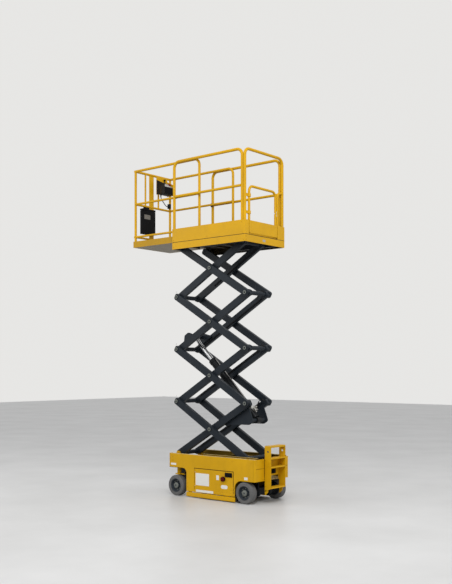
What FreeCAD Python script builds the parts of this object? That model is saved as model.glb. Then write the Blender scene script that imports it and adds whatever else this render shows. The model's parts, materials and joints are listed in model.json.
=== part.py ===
import FreeCAD, Part
import math
import os
import re
import Sketcher
from FreeCAD import Placement, Rotation, Vector

# Compact electric scissor lift with its platform raised and its deck extension rolled out.
# Millimetres, +X forward, +Y to the machine's left, +Z up. The floor is at Z = 0 and the
# origin lies under the middle of the whole machine.

doc = FreeCAD.newDocument("ScissorLift")

SIZES = {
    # scissor stack
    "arm_length": 1460,
    "arm_depth": 94,
    "arm_width": 50,
    "arm_gap": 5,
    "arm_overhang": 37,
    "arm_end_round": 30,
    "inner_arm_inside": 170,
    "rest_angle": 30.8,
    "top_half_arm": 625,
    "base_pin_x": 423,
    "base_pin_z": 587,
    "pin_radius": 20,
    "pin_clearance": 0.5,
    "pin_short": 2,
    "cap_radius": 30,
    "cap_thick": 7,
    "bolt_radius": 11,
    "bolt_thick": 5,
    "cross_tube_radius": 30,
    "roller_radius": 22,
    "roller_width": 24,
    "roller_clearance": 0.4,
    "roller_side_gap": 4,
    "roller_axle_radius": 14,
    "track_wall": 6,
    "track_back": 328,
    "track_lip_gap": 2,
    "track_rim": 2,
    "base_track_spare": 230,
    "top_track_spare": 135,
    "top_track_rear": 22,
    "lug_thick": 12,
    "lug_radius": 34,
    "lug_gap": 6,
    "lug_pin_end": 6,
    "lug_trim": 4,
    "lug_foot_rear": 60,
    "lug_foot_front": 42,
    "top_lug_heel": 80,
    # lift cylinder
    "lower_eye_run": 118,
    "lower_eye_drop": 203,
    "upper_eye_inset": 190,
    "upper_eye_rise": 100,
    "cheek_thick": 14,
    "upper_cheek_offset": 6,
    "cheek_margin": 5,
    "cheek_round": 36,
    "lower_tail_reach": 440,
    "lower_tail_depth": 40,
    "lower_belly_reach": 170,
    "lower_belly_rise": 30,
    "lower_chin_front": 40,
    "lower_chin_rear": 42,
    "lower_neck_reach": 62,
    "lower_neck_rise": 60,
    "lower_heel_reach": 40,
    "lower_heel_depth": 30,
    "upper_foot_rear": 150,
    "upper_foot_front": 130,
    "upper_foot_height": 30,
    "upper_crown_rear": 40,
    "upper_crown_front": 42,
    "upper_crown_trim": 4,
    "cheek_pad_reach": 130,
    "cheek_pad_length": 240,
    "cheek_pad_rise": 8,
    "cheek_pad_height": 30,
    "trunnion_radius": 25,
    "eye_radius": 45,
    "eye_half_width": 40,
    "eye_side_gap": 6,
    "eye_embed": 12,
    "barrel_length": 1150,
    "barrel_radius": 55,
    "barrel_wall": 11,
    "barrel_end_wall": 20,
    "rod_length": 1190,
    "rod_radius": 28,
    "piston_length": 60,
    "gland_length": 45,
    "gland_wall": 6,
    # chassis
    "chassis_rear_room": 46,
    "chassis_front_room": 49,
    "chassis_half": 380,
    "chassis_top": 598,
    "sheet": 6,
    "corner_round": 25,
    "bend_step": 1,
    "rear_arch_reach": 160,
    "front_arch_reach": 208,
    "belly_z": 112,
    "rear_skirt_z": 304,
    "front_skirt_z": 405,
    "rear_arch_round": 110,
    "front_arch_round": 72,
    "arm_notch_half": 300,
    "arm_notch_z": 515,
    "ladder_notch_half": 146,
    "ladder_notch_z": 365,
    "door_rear_inset": 26,
    "door_front_inset": 155,
    "door_top": 412,
    "door_gap": 3,
    "door_depth": 20,
    "door_sheet": 3,
    "door_corner": 12,
    "hinge_radius": 4,
    "hinge_leaf": 2,
    "hinge_leaf_reach": 24,
    "hinge_half_height": 22,
    "hinge_low": 165,
    "hinge_high": 355,
    "seat_gap": 0.3,
    "guard_rear_reach": 6,
    "guard_end_gap": 20,
    "guard_bottom": 58,
    "guard_top": 104,
    "guard_thick": 7,
    "guard_proud": 3,
    "guard_flange": 14,
    "guard_flange_thick": 4,
    "guard_hinge_radius": 5.5,
    "guard_hinge_inset": 12,
    "panel_inset": 2,
    "panel_width": 128,
    "panel_height": 60,
    "panel_thick": 10,
    "panel_top_gap": 1,
    "stop_inset": 159,
    "stop_drop": 92,
    "stop_base_radius": 40,
    "stop_base_thick": 8,
    "stop_stem_radius": 20,
    "stop_stem_length": 10,
    "stop_head_radius": 30,
    "stop_head_thick": 14,
    "battery_half": 240,
    "battery_height": 270,
    "battery_rear_room": 180,
    "battery_front_room": 133,
    # wheels and steering
    "wheel_radius": 146,
    "wheel_outside": 378,
    "wheel_width": 100,
    "tyre_bore": 96,
    "tyre_round": 14,
    "rear_axle_inset": 183,
    "front_axle_inset": 131,
    "beam_half": 45,
    "beam_end_gap": 8,
    "motor_inside": 100,
    "motor_radius": 78,
    "hanger_half": 60,
    "hanger_inside": 130,
    "hanger_thick": 14,
    "stub_inside": 200,
    "stub_end_gap": 8,
    "stub_radius": 20,
    "stub_clearance": 0.4,
    "hub_radius": 44,
    "rim_wall": 9,
    "rim_inset": 4,
    "rim_outer_inset": 6,
    "dish_back": 30,
    "dish_rim_depth": 62,
    "dish_rim_width": 8,
    "dish_root_depth": 54,
    "dish_root_width": 6,
    "hub_face": 84,
    "hub_taper": 8,
    "kingpin_y": 300,
    "kingpin_radius": 20,
    "kingpin_tube": 30,
    "kingpin_tube_gap": 5,
    "kingpin_top_gap": 4,
    "yoke_z": 300,
    "yoke_thick": 12,
    "yoke_half": 48,
    "yoke_reach": 50,
    "yoke_round": 30,
    "yoke_leg_gap": 20,
    "yoke_leg_thick": 12,
    "yoke_leg_drop": 45,
    "steer_arm": 100,
    "steer_arm_flare": 6,
    "link_half": 10,
    "link_thick": 14,
    "link_eye": 14,
    "link_pin": 8,
    "link_gap": 2,
    "link_pin_end": 3,
    # ladder
    "ladder_half": 164,
    "ladder_depth": 104,
    "ladder_top": 772,
    "ladder_bottom": 160,
    "ladder_rise": 48,
    "ladder_cap": 22,
    "ladder_corner": 14,
    "lashing_hole_radius": 14,
    "lashing_hole_drop": 78,
    "step_low": 221,
    "step_mid": 495,
    "step_top": 612,
    "step_thick": 16,
    # platform
    "deck_rear_room": 50.81,
    "deck_front_room": 18.19,
    "deck_half": 440,
    "deck_rise": 56.43,
    "deck_thick": 4,
    "channel_height": 94,
    "channel_lip": 28,
    "toe_height": 190,
    "toe_thick": 3,
    "joist_width": 40,
    "joist_depth": 24,
    "joist_front_inset": 351,
    "joist_middle_inset": 571,
    "bracket_front_inset": 518,
    "bracket_rear_inset": 268,
    "deck_nose_half": 150,
    "rail_radius": 20,
    "rail_mid_radius": 18,
    "rail_height": 1138,
    "rail_mid_height": 651,
    "rail_bend": 90,
    "rail_front_inset": 20,
    "rail_rear_inset": 66,
    "gate_radius": 17,
    "gate_hinge_y": 326,
    "gate_latch_y": -258,
    "gate_bend": 75,
    "gate_post_y": 305,
    "gate_post_bend": 60,
    "gate_toe_gap": 30,
    "toe_post_gap": 8,
    "gate_floor_gap": 26,
    "collar_height": 40,
    "collar_wall": 7,
    "collar_arm_half": 5,
    "collar_low_height": 276,
    "collar_high_height": 506,
    # deck extension
    "ext_reach": 836,
    "ext_overlap": 471,
    "ext_half": 392,
    "ext_gap": 8,
    "ext_thick": 8,
    "ext_side_height": 90,
    "ext_rail_radius": 18,
    "ext_mid_radius": 16,
    "ext_toe_radius": 15,
    "ext_toe_height": 150,
    "ext_post_inset": 20,
    "pad_length": 50,
    "pad_width": 40,
    "pad_clearance": 0.3,
    "pad_inset": 5,
    "main_pad_y": 260,
    "ext_pad_y": 200,
    "wide_post_y": 40,
    "wide_post_width": 84,
    "wide_post_thick": 16,
    "stay_radius": 13,
    "far_stay_offset": 55,
    "manual_drop": 52,
    "manual_height": 378,
    "manual_width": 262,
    "manual_depth": 70,
    "manual_y": 166,
    "hook_width": 120,
    "hook_thick": 4,
    # platform controls and their cable
    "console_y": -165,
    "console_width": 216,
    "console_depth": 150,
    "console_drop": 270,
    "console_height": 176,
    "console_nose": 96,
    "console_ridge": 40,
    "console_ridge_round": 14,
    "console_nose_round": 12,
    "console_foot_round": 8,
    "console_post_gap": 6,
    "lever_inset": 20,
    "lever_offset": 40,
    "lever_height": 46,
    "lever_radius": 6,
    "knob_height": 52,
    "hood_thick": 5,
    "hood_rise": 40,
    "hood_margin": 10,
    "hood_reach": 20,
    "hood_back_thick": 6,
    "hood_brow_round": 25,
    "hood_foot_round": 20,
    "handle_radius": 15,
    "cable_radius": 6,
    "gland_radius": 11,
    "gland_drop": 26,
    "gland_inset": 60,
    "gland_side_inset": 22,
    "junction_width": 46,
    "junction_height": 70,
    "junction_depth": 30,
    "junction_drop": 182,
    "junction_front": 10,
    "junction_port_inset": 12,
    "junction_port_height": 25,
}

# Lengths that follow from the sizes above.
DERIVED = {
    "half_arm": "arm_length / 2",
    "base_track_length": "half_arm + base_track_spare",
    "top_track_length": "top_half_arm + top_track_spare",
    "stage_height": "arm_length * sin(rest_angle)",
    "rear_pin_x": "base_pin_x - arm_length * cos(rest_angle)",
    "inner_out": "inner_arm_inside + arm_width",
    "outer_in": "inner_out + arm_gap",
    "outer_out": "outer_in + arm_width",
    "top_pin_z": "base_pin_z + 3.5 * stage_height + top_half_arm * sin(rest_angle)",
    "top_pin_x": "base_pin_x - (half_arm - top_half_arm) * cos(rest_angle)",
    "hole_radius": "pin_radius + pin_clearance",
    "track_half": "roller_radius + roller_clearance",
    "roller_in": "track_back - track_wall - roller_side_gap - roller_width",
    "lower_eye_x": "rear_pin_x + lower_eye_run * cos(rest_angle) - lower_eye_drop * sin(rest_angle)",
    "lower_eye_z": "base_pin_z + stage_height - lower_eye_run * sin(rest_angle)"
                   " - lower_eye_drop * cos(rest_angle)",
    "upper_eye_run": "arm_length - upper_eye_inset",
    "upper_eye_x": "rear_pin_x + upper_eye_run * cos(rest_angle) + upper_eye_rise * sin(rest_angle)",
    "upper_eye_z": "base_pin_z + 3 * stage_height - upper_eye_run * sin(rest_angle)"
                   " + upper_eye_rise * cos(rest_angle)",
    "lift_run": "upper_eye_x - lower_eye_x",
    "lift_rise": "upper_eye_z - lower_eye_z",
    "lift_length": "sqrt(lift_run * lift_run + lift_rise * lift_rise)",
    "lift_angle": "atan(lift_rise / lift_run)",
    "chassis_rear": "base_pin_x - arm_length - chassis_rear_room",
    "chassis_front": "base_pin_x + chassis_front_room",
    "rear_axle_x": "chassis_rear + rear_axle_inset",
    "front_axle_x": "chassis_front - front_axle_inset",
    "belly_rear": "rear_axle_x + rear_arch_reach",
    "belly_front": "front_axle_x - front_arch_reach",
    "door_rear": "belly_rear + door_rear_inset",
    "door_front": "belly_front - door_front_inset",
    "guard_rear": "belly_rear - guard_rear_reach",
    "battery_rear": "belly_rear + battery_rear_room",
    "battery_length": "belly_front - battery_front_room - battery_rear",
    "wheel_inside": "wheel_outside - wheel_width",
    "kingpin_bore": "kingpin_radius + pin_clearance",
    "deck_rear": "round(top_pin_x - 2 * top_half_arm - deck_rear_room)",
    "deck_front": "round(top_pin_x + deck_front_room)",
    "deck_z": "round(top_pin_z + deck_rise)",
    "channel_z": "deck_z - channel_height",
    "deck_top": "deck_z + deck_thick",
    "toe_top": "deck_top + toe_height",
    "rail_top": "deck_top + rail_height",
    "rail_mid": "deck_top + rail_mid_height",
    "joist_front": "deck_front - joist_front_inset",
    "joist_middle": "deck_front - joist_middle_inset",
    "bracket_front": "deck_rear + bracket_front_inset",
    "bracket_rear": "deck_rear + bracket_rear_inset",
    "collar_low": "deck_top + collar_low_height",
    "collar_high": "deck_top + collar_high_height",
    "post_y": "deck_half - toe_thick - rail_radius",
    "rear_post_x": "deck_rear + toe_thick + rail_radius",
    "front_post_x": "deck_front - rail_front_inset",
    "side_rear_post_x": "deck_rear + rail_rear_inset",
    "ext_front": "deck_front + ext_reach",
    "ext_rear": "deck_front - ext_overlap",
    "ext_z": "deck_top + ext_gap",
    "ext_top": "ext_z + ext_thick",
    "ext_toe_z": "ext_top + ext_toe_height",
    "ext_post_y": "ext_half - sheet - ext_rail_radius",
    "ext_post_x": "ext_front - sheet - ext_rail_radius",
    "ext_rear_post_x": "ext_rear + ext_post_inset",
    "manual_low": "rail_mid - manual_drop - manual_height",
    "console_low": "rail_top - console_drop",
    "junction_z": "console_low - junction_drop",
    "guard_hinge_z": "belly_z - guard_hinge_radius - seat_gap",
    "door_low": "belly_z + sheet + door_gap",
    "door_hinge_x": "door_front + door_gap / 2",
    "door_hinge_y": "chassis_half + hinge_radius + seat_gap",
}

sheet = doc.addObject("Spreadsheet::Sheet", "Sizes")
for row, (alias, number) in enumerate(SIZES.items(), start=1):
    sheet.set("A%d" % row, alias)
    sheet.set("B%d" % row, str(number))
    sheet.setAlias("B%d" % row, alias)
doc.recompute()


def bound(text):
    """An expression in the sheet's cells, from one written in the names of the sizes."""
    def cell(word):
        name = word.group(0)
        if name in DERIVED:
            return "(" + bound(DERIVED[name]) + ")"
        return "Sizes." + name if name in SIZES else name
    return re.sub(r"[A-Za-z_][A-Za-z_0-9]*", cell, str(text))


def value(text):
    """The number that such an expression has now."""
    return float(sheet.evalExpression(bound(text)))


def bind(thing, prop, text):
    thing.setExpression(prop, bound(text))


TURNS = {
    "X": Rotation(Vector(0, 1, 0), 90),
    "Y": Rotation(Vector(1, 0, 0), -90),
    "Z": Rotation(),
}


def put(thing, at, rotation=None, axis=None, angle=None):
    """Place a thing at three expressions, turned by a fixed rotation or by a bound angle."""
    if axis:
        rotation = Rotation(Vector(*axis), 1)
    thing.Placement = Placement(Vector(), rotation or Rotation())
    for letter, text in zip("xyz", at):
        bind(thing, "Placement.Base." + letter, text)
    if axis:
        bind(thing, "Placement.Rotation.Angle", angle)
    return thing


def box(name, corner, size):
    solid = doc.addObject("Part::Box", name)
    for prop, text in zip(("Length", "Width", "Height"), size):
        bind(solid, prop, text)
    return put(solid, corner)


def rod(name, start, axis, length, radius):
    """A round bar from its lower end along X, Y or Z."""
    solid = doc.addObject("Part::Cylinder", name)
    bind(solid, "Height", length)
    bind(solid, "Radius", radius)
    return put(solid, start, TURNS[axis])


def fused(name, pieces):
    solid = doc.addObject("Part::MultiFuse", name)
    solid.Shapes = pieces
    solid.Refine = True
    return solid


def cut(name, base, tools):
    solid = doc.addObject("Part::Cut", name)
    solid.Base = base
    solid.Tool = tools[0] if len(tools) == 1 else fused(name + "Tools", tools)
    return solid


def ring(name, start, axis, length, outer, inner):
    return cut(name, rod(name + "Outer", start, axis, length, outer),
               [rod(name + "Bore", start, axis, length, inner)])


def mirrored(name, source):
    """The same piece on the machine's other side."""
    solid = doc.addObject("Part::Mirroring", name)
    solid.Source = source
    solid.Normal = (0, 1, 0)
    solid.Base = (0, 0, 0)
    return solid


def both_sides(name, source):
    pair = doc.addObject("Part::Compound", name)
    pair.Links = [source, mirrored(name + "Right", source)]
    return pair


def group(name, pieces):
    several = doc.addObject("Part::Compound", name)
    several.Links = pieces
    return several


NODES = []


def node(label, thing):
    """Keep a finished piece under the name of its file."""
    thing.Label = label
    NODES.append(thing)
    return thing


# Which way each origin plane's sketch runs: its name, and whether a pad has to be
# reversed to grow along the positive axis.
PLANES = {"XY": ("XY_Plane", False), "XZ": ("XZ_Plane", True), "YZ": ("YZ_Plane", False)}


def sketch_on(body, name, plane):
    sketch = body.newObject("Sketcher::SketchObject", name)
    role = PLANES[plane][0]
    origin = [item for item in body.Origin.OriginFeatures if item.Role == role][0]
    sketch.AttachmentSupport = [(origin, "")]
    sketch.MapMode = "FlatFace"
    return sketch


def polygon(sketch, corners):
    """Closed outline whose every corner is held at two expressions."""
    places = [Vector(value(across), value(up), 0) for across, up in corners]
    for start, end in zip(places, places[1:] + places[:1]):
        sketch.addGeometry(Part.LineSegment(start, end), False)
    last = len(corners) - 1
    for line in range(len(corners)):
        following = 0 if line == last else line + 1
        sketch.addConstraint(Sketcher.Constraint("Coincident", line, 2, following, 1))
    for line, (across, up) in enumerate(corners):
        for kind, text in (("DistanceX", across), ("DistanceY", up)):
            number = value(text)
            index = sketch.addConstraint(Sketcher.Constraint(kind, -1, 1, line, 1, number))
            bind(sketch, "Constraints[%d]" % index, text)


def outline(name, plane, corners, start, width, rounds=(), at=("0", "0", "0")):
    """A flat piece: an outline in XZ, YZ or XY, thick along the third axis from start.

    rounds holds pairs of a corner's number and the radius it is rounded to.
    """
    body = doc.addObject("PartDesign::Body", name)
    sketch = sketch_on(body, name + "Outline", plane)
    polygon(sketch, corners)
    reversed_pad = PLANES[plane][1]
    sign = "-1 * " if reversed_pad else ""
    bind(sketch, "AttachmentOffset.Base.z", sign + "(" + str(start) + ")")
    pad = body.newObject("PartDesign::Pad", name + "Pad")
    pad.Profile = sketch
    bind(pad, "Length", width)
    pad.Reversed = reversed_pad
    doc.recompute([sketch, pad])
    body.Tip = pad
    round_edges(body, plane, [(corners[corner], radius) for corner, radius in rounds])
    return put(body, at)


def round_edges(body, plane, places):
    """Round the edges that cross a plane at some places: pairs of a place and a radius."""
    for place, radius in places:
        across, up = (value(text) for text in place)
        base = body.Tip
        fillet = body.newObject("PartDesign::Fillet", "%sRound%d" % (body.Name, len(body.Group)))
        fillet.Base = (base, [edge_at(base.Shape, plane, across, up)])
        bind(fillet, "Radius", radius)
        doc.recompute([fillet])
        body.Tip = fillet


def edge_at(shape, plane, across, up):
    """The name of the edge that crosses the sketch plane at a corner."""
    letters = {"XY": "xy", "XZ": "xz", "YZ": "yz"}[plane]
    for number, edge in enumerate(shape.Edges, start=1):
        ends = [vertex.Point for vertex in edge.Vertexes]
        if len(ends) == 2 and all(abs(getattr(point, letters[0]) - across) < 1e-4
                                  and abs(getattr(point, letters[1]) - up) < 1e-4
                                  for point in ends):
            return "Edge%d" % number
    raise RuntimeError("no edge at that corner")


def turned(name, corners, at):
    """A piece turned about its own Y axis: corners are (along Y, radius)."""
    body = doc.addObject("PartDesign::Body", name)
    sketch = sketch_on(body, name + "Profile", "YZ")
    polygon(sketch, corners)
    revolution = body.newObject("PartDesign::Revolution", name + "Turn")
    revolution.Profile = sketch
    revolution.ReferenceAxis = (sketch, ["H_Axis"])
    revolution.Angle = 360
    body.Tip = revolution
    return put(body, at)


HOOP_PLANES = {
    "XZ": Rotation(Vector(1, 0, 0), 90),
    "YZ": Rotation(Vector(1, 1, 1), 120),
}


def hoop(name, plane, start, width, height, bend, radius, legs=2):
    """A bent tube: up from start, round a bend, across, and down again if it has two legs."""
    wide, high, turn = value(width), value(height), value(bend)
    tall = high - turn
    right = wide - turn
    spine = doc.addObject("Sketcher::SketchObject", name + "Spine")
    geometry = [Part.LineSegment(Vector(0, 0, 0), Vector(0, tall, 0)),
                Part.ArcOfCircle(Part.Circle(Vector(turn, tall, 0), Vector(0, 0, 1), turn),
                                 math.pi / 2, math.pi),
                Part.LineSegment(Vector(turn, high, 0), Vector(right if legs == 2 else wide, high, 0))]
    if legs == 2:
        geometry += [Part.ArcOfCircle(Part.Circle(Vector(right, tall, 0), Vector(0, 0, 1), turn),
                                      0, math.pi / 2),
                     Part.LineSegment(Vector(wide, tall, 0), Vector(wide, 0, 0))]
    spine.addGeometry(geometry, False)
    rule = Sketcher.Constraint
    spine.addConstraint([rule("Coincident", 0, 1, -1, 1), rule("Vertical", 0), rule("Horizontal", 2),
                         rule("Tangent", 0, 2, 1, 2), rule("Tangent", 1, 1, 2, 1)])
    driven = [("Radius", (1, turn), bend), ("DistanceY", (-1, 1, 2, 1, high), height)]
    if legs == 2:
        spine.addConstraint([rule("Tangent", 2, 2, 3, 2), rule("Tangent", 3, 1, 4, 1),
                             rule("Vertical", 4), rule("Equal", 1, 3), rule("PointOnObject", 4, 2, -1)])
        driven.append(("DistanceX", (-1, 1, 4, 2, wide), width))
    else:
        driven.append(("DistanceX", (-1, 1, 2, 2, wide), width))
    for kind, terms, text in driven:
        index = spine.addConstraint(rule(kind, *terms))
        bind(spine, "Constraints[%d]" % index, text)
    put(spine, start, HOOP_PLANES[plane])
    section = doc.addObject("Sketcher::SketchObject", name + "Section")
    section.addGeometry(Part.Circle(Vector(0, 0, 0), Vector(0, 0, 1), value(radius)), False)
    section.addConstraint(rule("Coincident", 0, 3, -1, 1))
    index = section.addConstraint(rule("Radius", 0, value(radius)))
    bind(section, "Constraints[%d]" % index, radius)
    put(section, start, HOOP_PLANES[plane] * Rotation(Vector(1, 0, 0), -90))
    tube = doc.addObject("Part::Sweep", name)
    tube.Sections = [section]
    tube.Spine = (spine, ["Edge%d" % (count + 1) for count in range(len(geometry))])
    tube.Solid = True
    return tube


# Scissor arms. Each is drawn along its own X from its rear pin and then turned into place.
# Columns: stage, length of the upper half of its arms.
STAGES = ((1, "half_arm"), (2, "half_arm"), (3, "half_arm"), (4, "top_half_arm"))
LAST_STAGE = len(STAGES)


def arm_bar(name, length, inside):
    low, high = "-arm_depth / 2", "arm_depth / 2"
    rear, front = "-arm_overhang", length + " + arm_overhang"
    corners = [(rear, low), (front, low), (front, high), (rear, high)]
    return outline(name, "XZ", corners, inside, "arm_width",
                   [(corner, "arm_end_round") for corner in range(4)])


def pin_with_cap(name, along, inner_end):
    """A pin welded in an outer arm, with its cap and bolt on the outside face."""
    shaft = rod(name, (along, inner_end, "0"), "Y", "outer_out - (%s)" % inner_end, "pin_radius")
    cap = rod(name + "Cap", (along, "outer_out", "0"), "Y", "cap_thick", "cap_radius")
    bolt = rod(name + "Bolt", (along, "outer_out + cap_thick", "0"), "Y", "bolt_thick", "bolt_radius")
    return [shaft, cap, bolt]


def roller(name, along, inner_end):
    """The axle and roller that carry an arm's sliding end in its track."""
    axle = rod(name + "Axle", (along, inner_end, "0"), "Y", "roller_in + roller_width - (%s)" % inner_end,
               "roller_axle_radius")
    wheel = rod(name, (along, "roller_in", "0"), "Y", "roller_width", "roller_radius")
    return [axle, wheel]


# Stage 1 has no cross tube at its rear, because the cylinder swings there: the cylinder's
# lower mount ties the two arms instead.
for stage, upper in STAGES:
    inner_total = "half_arm + " + upper
    inner_at = ("base_pin_x - (%s) * cos(rest_angle)" % inner_total, "0",
                "base_pin_z + %g * stage_height + %s * sin(rest_angle)" % (stage - 0.5, upper))
    outer_at = ("rear_pin_x", "0", "base_pin_z + %d * stage_height" % (stage - 1))
    sunk = "inner_arm_inside + pin_short"

    # inner arms: bored at the centre and at both ends for the outer arms' pins
    bar = arm_bar("InnerBar%d" % stage, inner_total, "inner_arm_inside")
    bored = [upper, inner_total] + (["0"] if stage < LAST_STAGE else [])
    holes = [rod("InnerBore%d%s" % (stage, "ABC"[count]), (along, "inner_arm_inside - 1", "0"), "Y",
                 "arm_width + 2", "hole_radius") for count, along in enumerate(bored)]
    inner = cut("InnerArm%d" % stage, bar, holes)
    if stage == LAST_STAGE:
        inner = fused("InnerArmRollers", [inner] + roller("TopRoller", "0", "inner_out"))
    tubes = [rod("CrossTube%d%s" % (stage, "AB"[count]), (along, "-inner_arm_inside", "0"), "Y",
                 "2 * inner_arm_inside", "cross_tube_radius")
             for count, along in enumerate(([] if stage == 1 else ["0"]) + [inner_total])]
    frame = fused("InnerFrame%d" % stage, [inner, mirrored("InnerArmRight%d" % stage, inner)] + tubes)
    put(frame, inner_at, axis=(0, 1, 0), angle="rest_angle")
    node("inner_arm_frame_%d" % stage, frame)

    # outer arms: pins at the centre and at each end that meets another stage
    pieces = [arm_bar("OuterBar%d" % stage, inner_total, "outer_in")]
    pieces += pin_with_cap("CentrePin%d" % stage, "half_arm", sunk)
    if stage > 1:
        pieces += pin_with_cap("RearPin%d" % stage, "0", sunk)
    else:
        pieces += roller("BaseRoller", "0", "outer_out")
    if stage < LAST_STAGE:
        pieces += pin_with_cap("FrontPin%d" % stage, inner_total, sunk)
    outer = fused("OuterArm%d" % stage, pieces)
    if stage == LAST_STAGE:
        outer = cut("OuterArmBored", outer,
                    [rod("TopFrontBore", (inner_total, "outer_in - 1", "0"), "Y", "arm_width + 2",
                         "hole_radius")])
    if stage == 1:
        base_tube = rod("BaseTube", ("0", "-outer_in", "0"), "Y", "2 * outer_in", "cross_tube_radius")
        outer = fused("OuterArmsJoined", [outer, mirrored("OuterArmRight", outer), base_tube])
        put(outer, outer_at, axis=(0, -1, 0), angle="rest_angle")
        node("outer_arms_1", outer)
    else:
        put(outer, outer_at, axis=(0, -1, 0), angle="rest_angle")
        node("outer_arms_%d" % stage, both_sides("OuterArms%d" % stage, outer))


# Lift cylinder: cheek plates welded inside the inner arms, a barrel on a cross shaft
# under stage 1, and a rod whose eye stands between two stub shafts over stage 3.
CHEEK_LOWER = [("lower_eye_run + lower_tail_reach", "-cheek_margin"),
               ("lower_eye_run + lower_tail_reach", "-lower_tail_depth"),
               ("lower_eye_run + lower_belly_reach", "-lower_eye_drop + lower_belly_rise"),
               ("lower_eye_run + lower_chin_front", "-lower_eye_drop - eye_radius"),
               ("lower_eye_run - lower_chin_rear", "-lower_eye_drop - eye_radius"),
               ("lower_eye_run - lower_neck_reach", "-lower_eye_drop + lower_neck_rise"),
               ("lower_heel_reach", "-lower_heel_depth"), ("lower_heel_reach", "-cheek_margin")]
upper_crown = "upper_eye_rise + eye_radius - upper_crown_trim"
CHEEK_UPPER = [("upper_eye_run - upper_foot_rear", "cheek_margin"),
               ("upper_eye_run + upper_foot_front", "cheek_margin"),
               ("upper_eye_run + upper_foot_front", "upper_foot_height"),
               ("upper_eye_run + upper_crown_front", upper_crown),
               ("upper_eye_run - upper_crown_rear", upper_crown),
               ("upper_eye_run - upper_foot_rear", "upper_foot_height")]
arm_1_at = ("rear_pin_x", "0", "base_pin_z + stage_height")
arm_3_at = ("rear_pin_x", "0", "base_pin_z + 3 * stage_height")
cheek_start = "inner_arm_inside - cheek_thick"
stub_start = "eye_half_width + eye_side_gap"

lower_cheek = outline("LowerCheek", "XZ", CHEEK_LOWER, cheek_start, "cheek_thick",
                      [(3, "cheek_round"), (4, "cheek_round")])
shaft = rod("Trunnion", ("lower_eye_run", "-inner_arm_inside + cheek_thick", "-lower_eye_drop"), "Y",
            "2 * (inner_arm_inside - cheek_thick)", "trunnion_radius")
lower_mount = fused("LowerMount", [lower_cheek, mirrored("LowerCheekRight", lower_cheek), shaft])
node("cylinder_lower_mount", put(lower_mount, arm_1_at, axis=(0, 1, 0), angle="rest_angle"))

# The upper cheeks stand in from the arms on pads, so that stage 4 folds down past them.
upper_cheek_start = cheek_start + " - upper_cheek_offset"
upper_cheek = outline("UpperCheek", "XZ", CHEEK_UPPER, upper_cheek_start, "cheek_thick",
                      [(3, "cheek_round"), (4, "cheek_round")])
cheek_pad = box("CheekPad", ("upper_eye_run - cheek_pad_reach", "inner_arm_inside - upper_cheek_offset",
                             "cheek_pad_rise"),
                ("cheek_pad_length", "upper_cheek_offset", "cheek_pad_height"))
stub = rod("UpperStub", ("upper_eye_run", stub_start, "upper_eye_rise"), "Y",
           upper_cheek_start + " - (%s)" % stub_start, "trunnion_radius")
upper_side = fused("UpperSide", [upper_cheek, cheek_pad, stub])
put(upper_side, arm_3_at, axis=(0, 1, 0), angle="rest_angle")
node("cylinder_upper_mount", both_sides("UpperMount", upper_side))

eye_width = "2 * eye_half_width"
barrel_ring = rod("BarrelEye", ("0", "-eye_half_width", "0"), "Y", eye_width, "eye_radius")
barrel_tube = rod("BarrelTube", ("eye_radius - eye_embed", "0", "0"), "X",
                  "barrel_length - eye_radius + eye_embed", "barrel_radius")
barrel_bore = rod("BarrelBore", ("eye_radius + barrel_end_wall", "0", "0"), "X", "barrel_length",
                  "barrel_radius - barrel_wall")
eye_bore = rod("BarrelEyeBore", ("0", "-eye_half_width - 1", "0"), "Y", eye_width + " + 2",
               "trunnion_radius + pin_clearance")
gland_ring = ring("HeadGland", ("barrel_length - gland_length", "0", "0"), "X", "gland_length",
                  "barrel_radius + gland_wall", "rod_radius + pin_clearance")
barrel = fused("Barrel", [cut("BarrelShell", fused("BarrelBody", [barrel_ring, barrel_tube]),
                              [barrel_bore, eye_bore]), gland_ring])
lift_at = ("lower_eye_x", "0", "lower_eye_z")
node("lift_cylinder_barrel", put(barrel, lift_at, axis=(0, -1, 0), angle="lift_angle"))

rod_start = "lift_length - rod_length"
rod_bar = rod("RodBar", (rod_start, "0", "0"), "X", "rod_length - eye_radius + eye_embed", "rod_radius")
piston = rod("Piston", (rod_start, "0", "0"), "X", "piston_length",
             "barrel_radius - barrel_wall - pin_clearance")
rod_eye = rod("RodEye", ("lift_length", "-eye_half_width", "0"), "Y", eye_width, "eye_radius")
rod_eye_bore = rod("RodEyeBore", ("lift_length", "-eye_half_width - 1", "0"), "Y", eye_width + " + 2",
                   "trunnion_radius + pin_clearance")
piston_rod = cut("PistonRod", fused("PistonRodBody", [rod_bar, piston, rod_eye]), [rod_eye_bore])
node("lift_cylinder_rod", put(piston_rod, lift_at, axis=(0, -1, 0), angle="lift_angle"))


# Chassis. A stepped floor plate carries the walls, the tracks and the axles.
rear_wall = "chassis_rear + sheet"
front_wall = "chassis_front - sheet"
FLOOR = [(rear_wall, "rear_skirt_z"), ("belly_rear", "rear_skirt_z"), ("belly_rear", "belly_z"),
         ("belly_front", "belly_z"), ("belly_front", "front_skirt_z - sheet"),
         (front_wall, "front_skirt_z - sheet"), (front_wall, "front_skirt_z"),
         ("belly_front - sheet", "front_skirt_z"), ("belly_front - sheet", "belly_z + sheet"),
         ("belly_rear + sheet", "belly_z + sheet"), ("belly_rear + sheet", "rear_skirt_z + sheet"),
         (rear_wall, "rear_skirt_z + sheet")]
floor_half = "chassis_half - sheet"
inner_round = "corner_round - sheet - bend_step"
floor = outline("Floor", "XZ", FLOOR, "-(%s)" % floor_half, "2 * (%s)" % floor_half)
round_edges(floor, "XY", [((rear_wall, side), inner_round) for side in (floor_half, "-(%s)" % floor_half)])
tube_low = "yoke_z + yoke_thick + kingpin_tube_gap"
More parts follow.
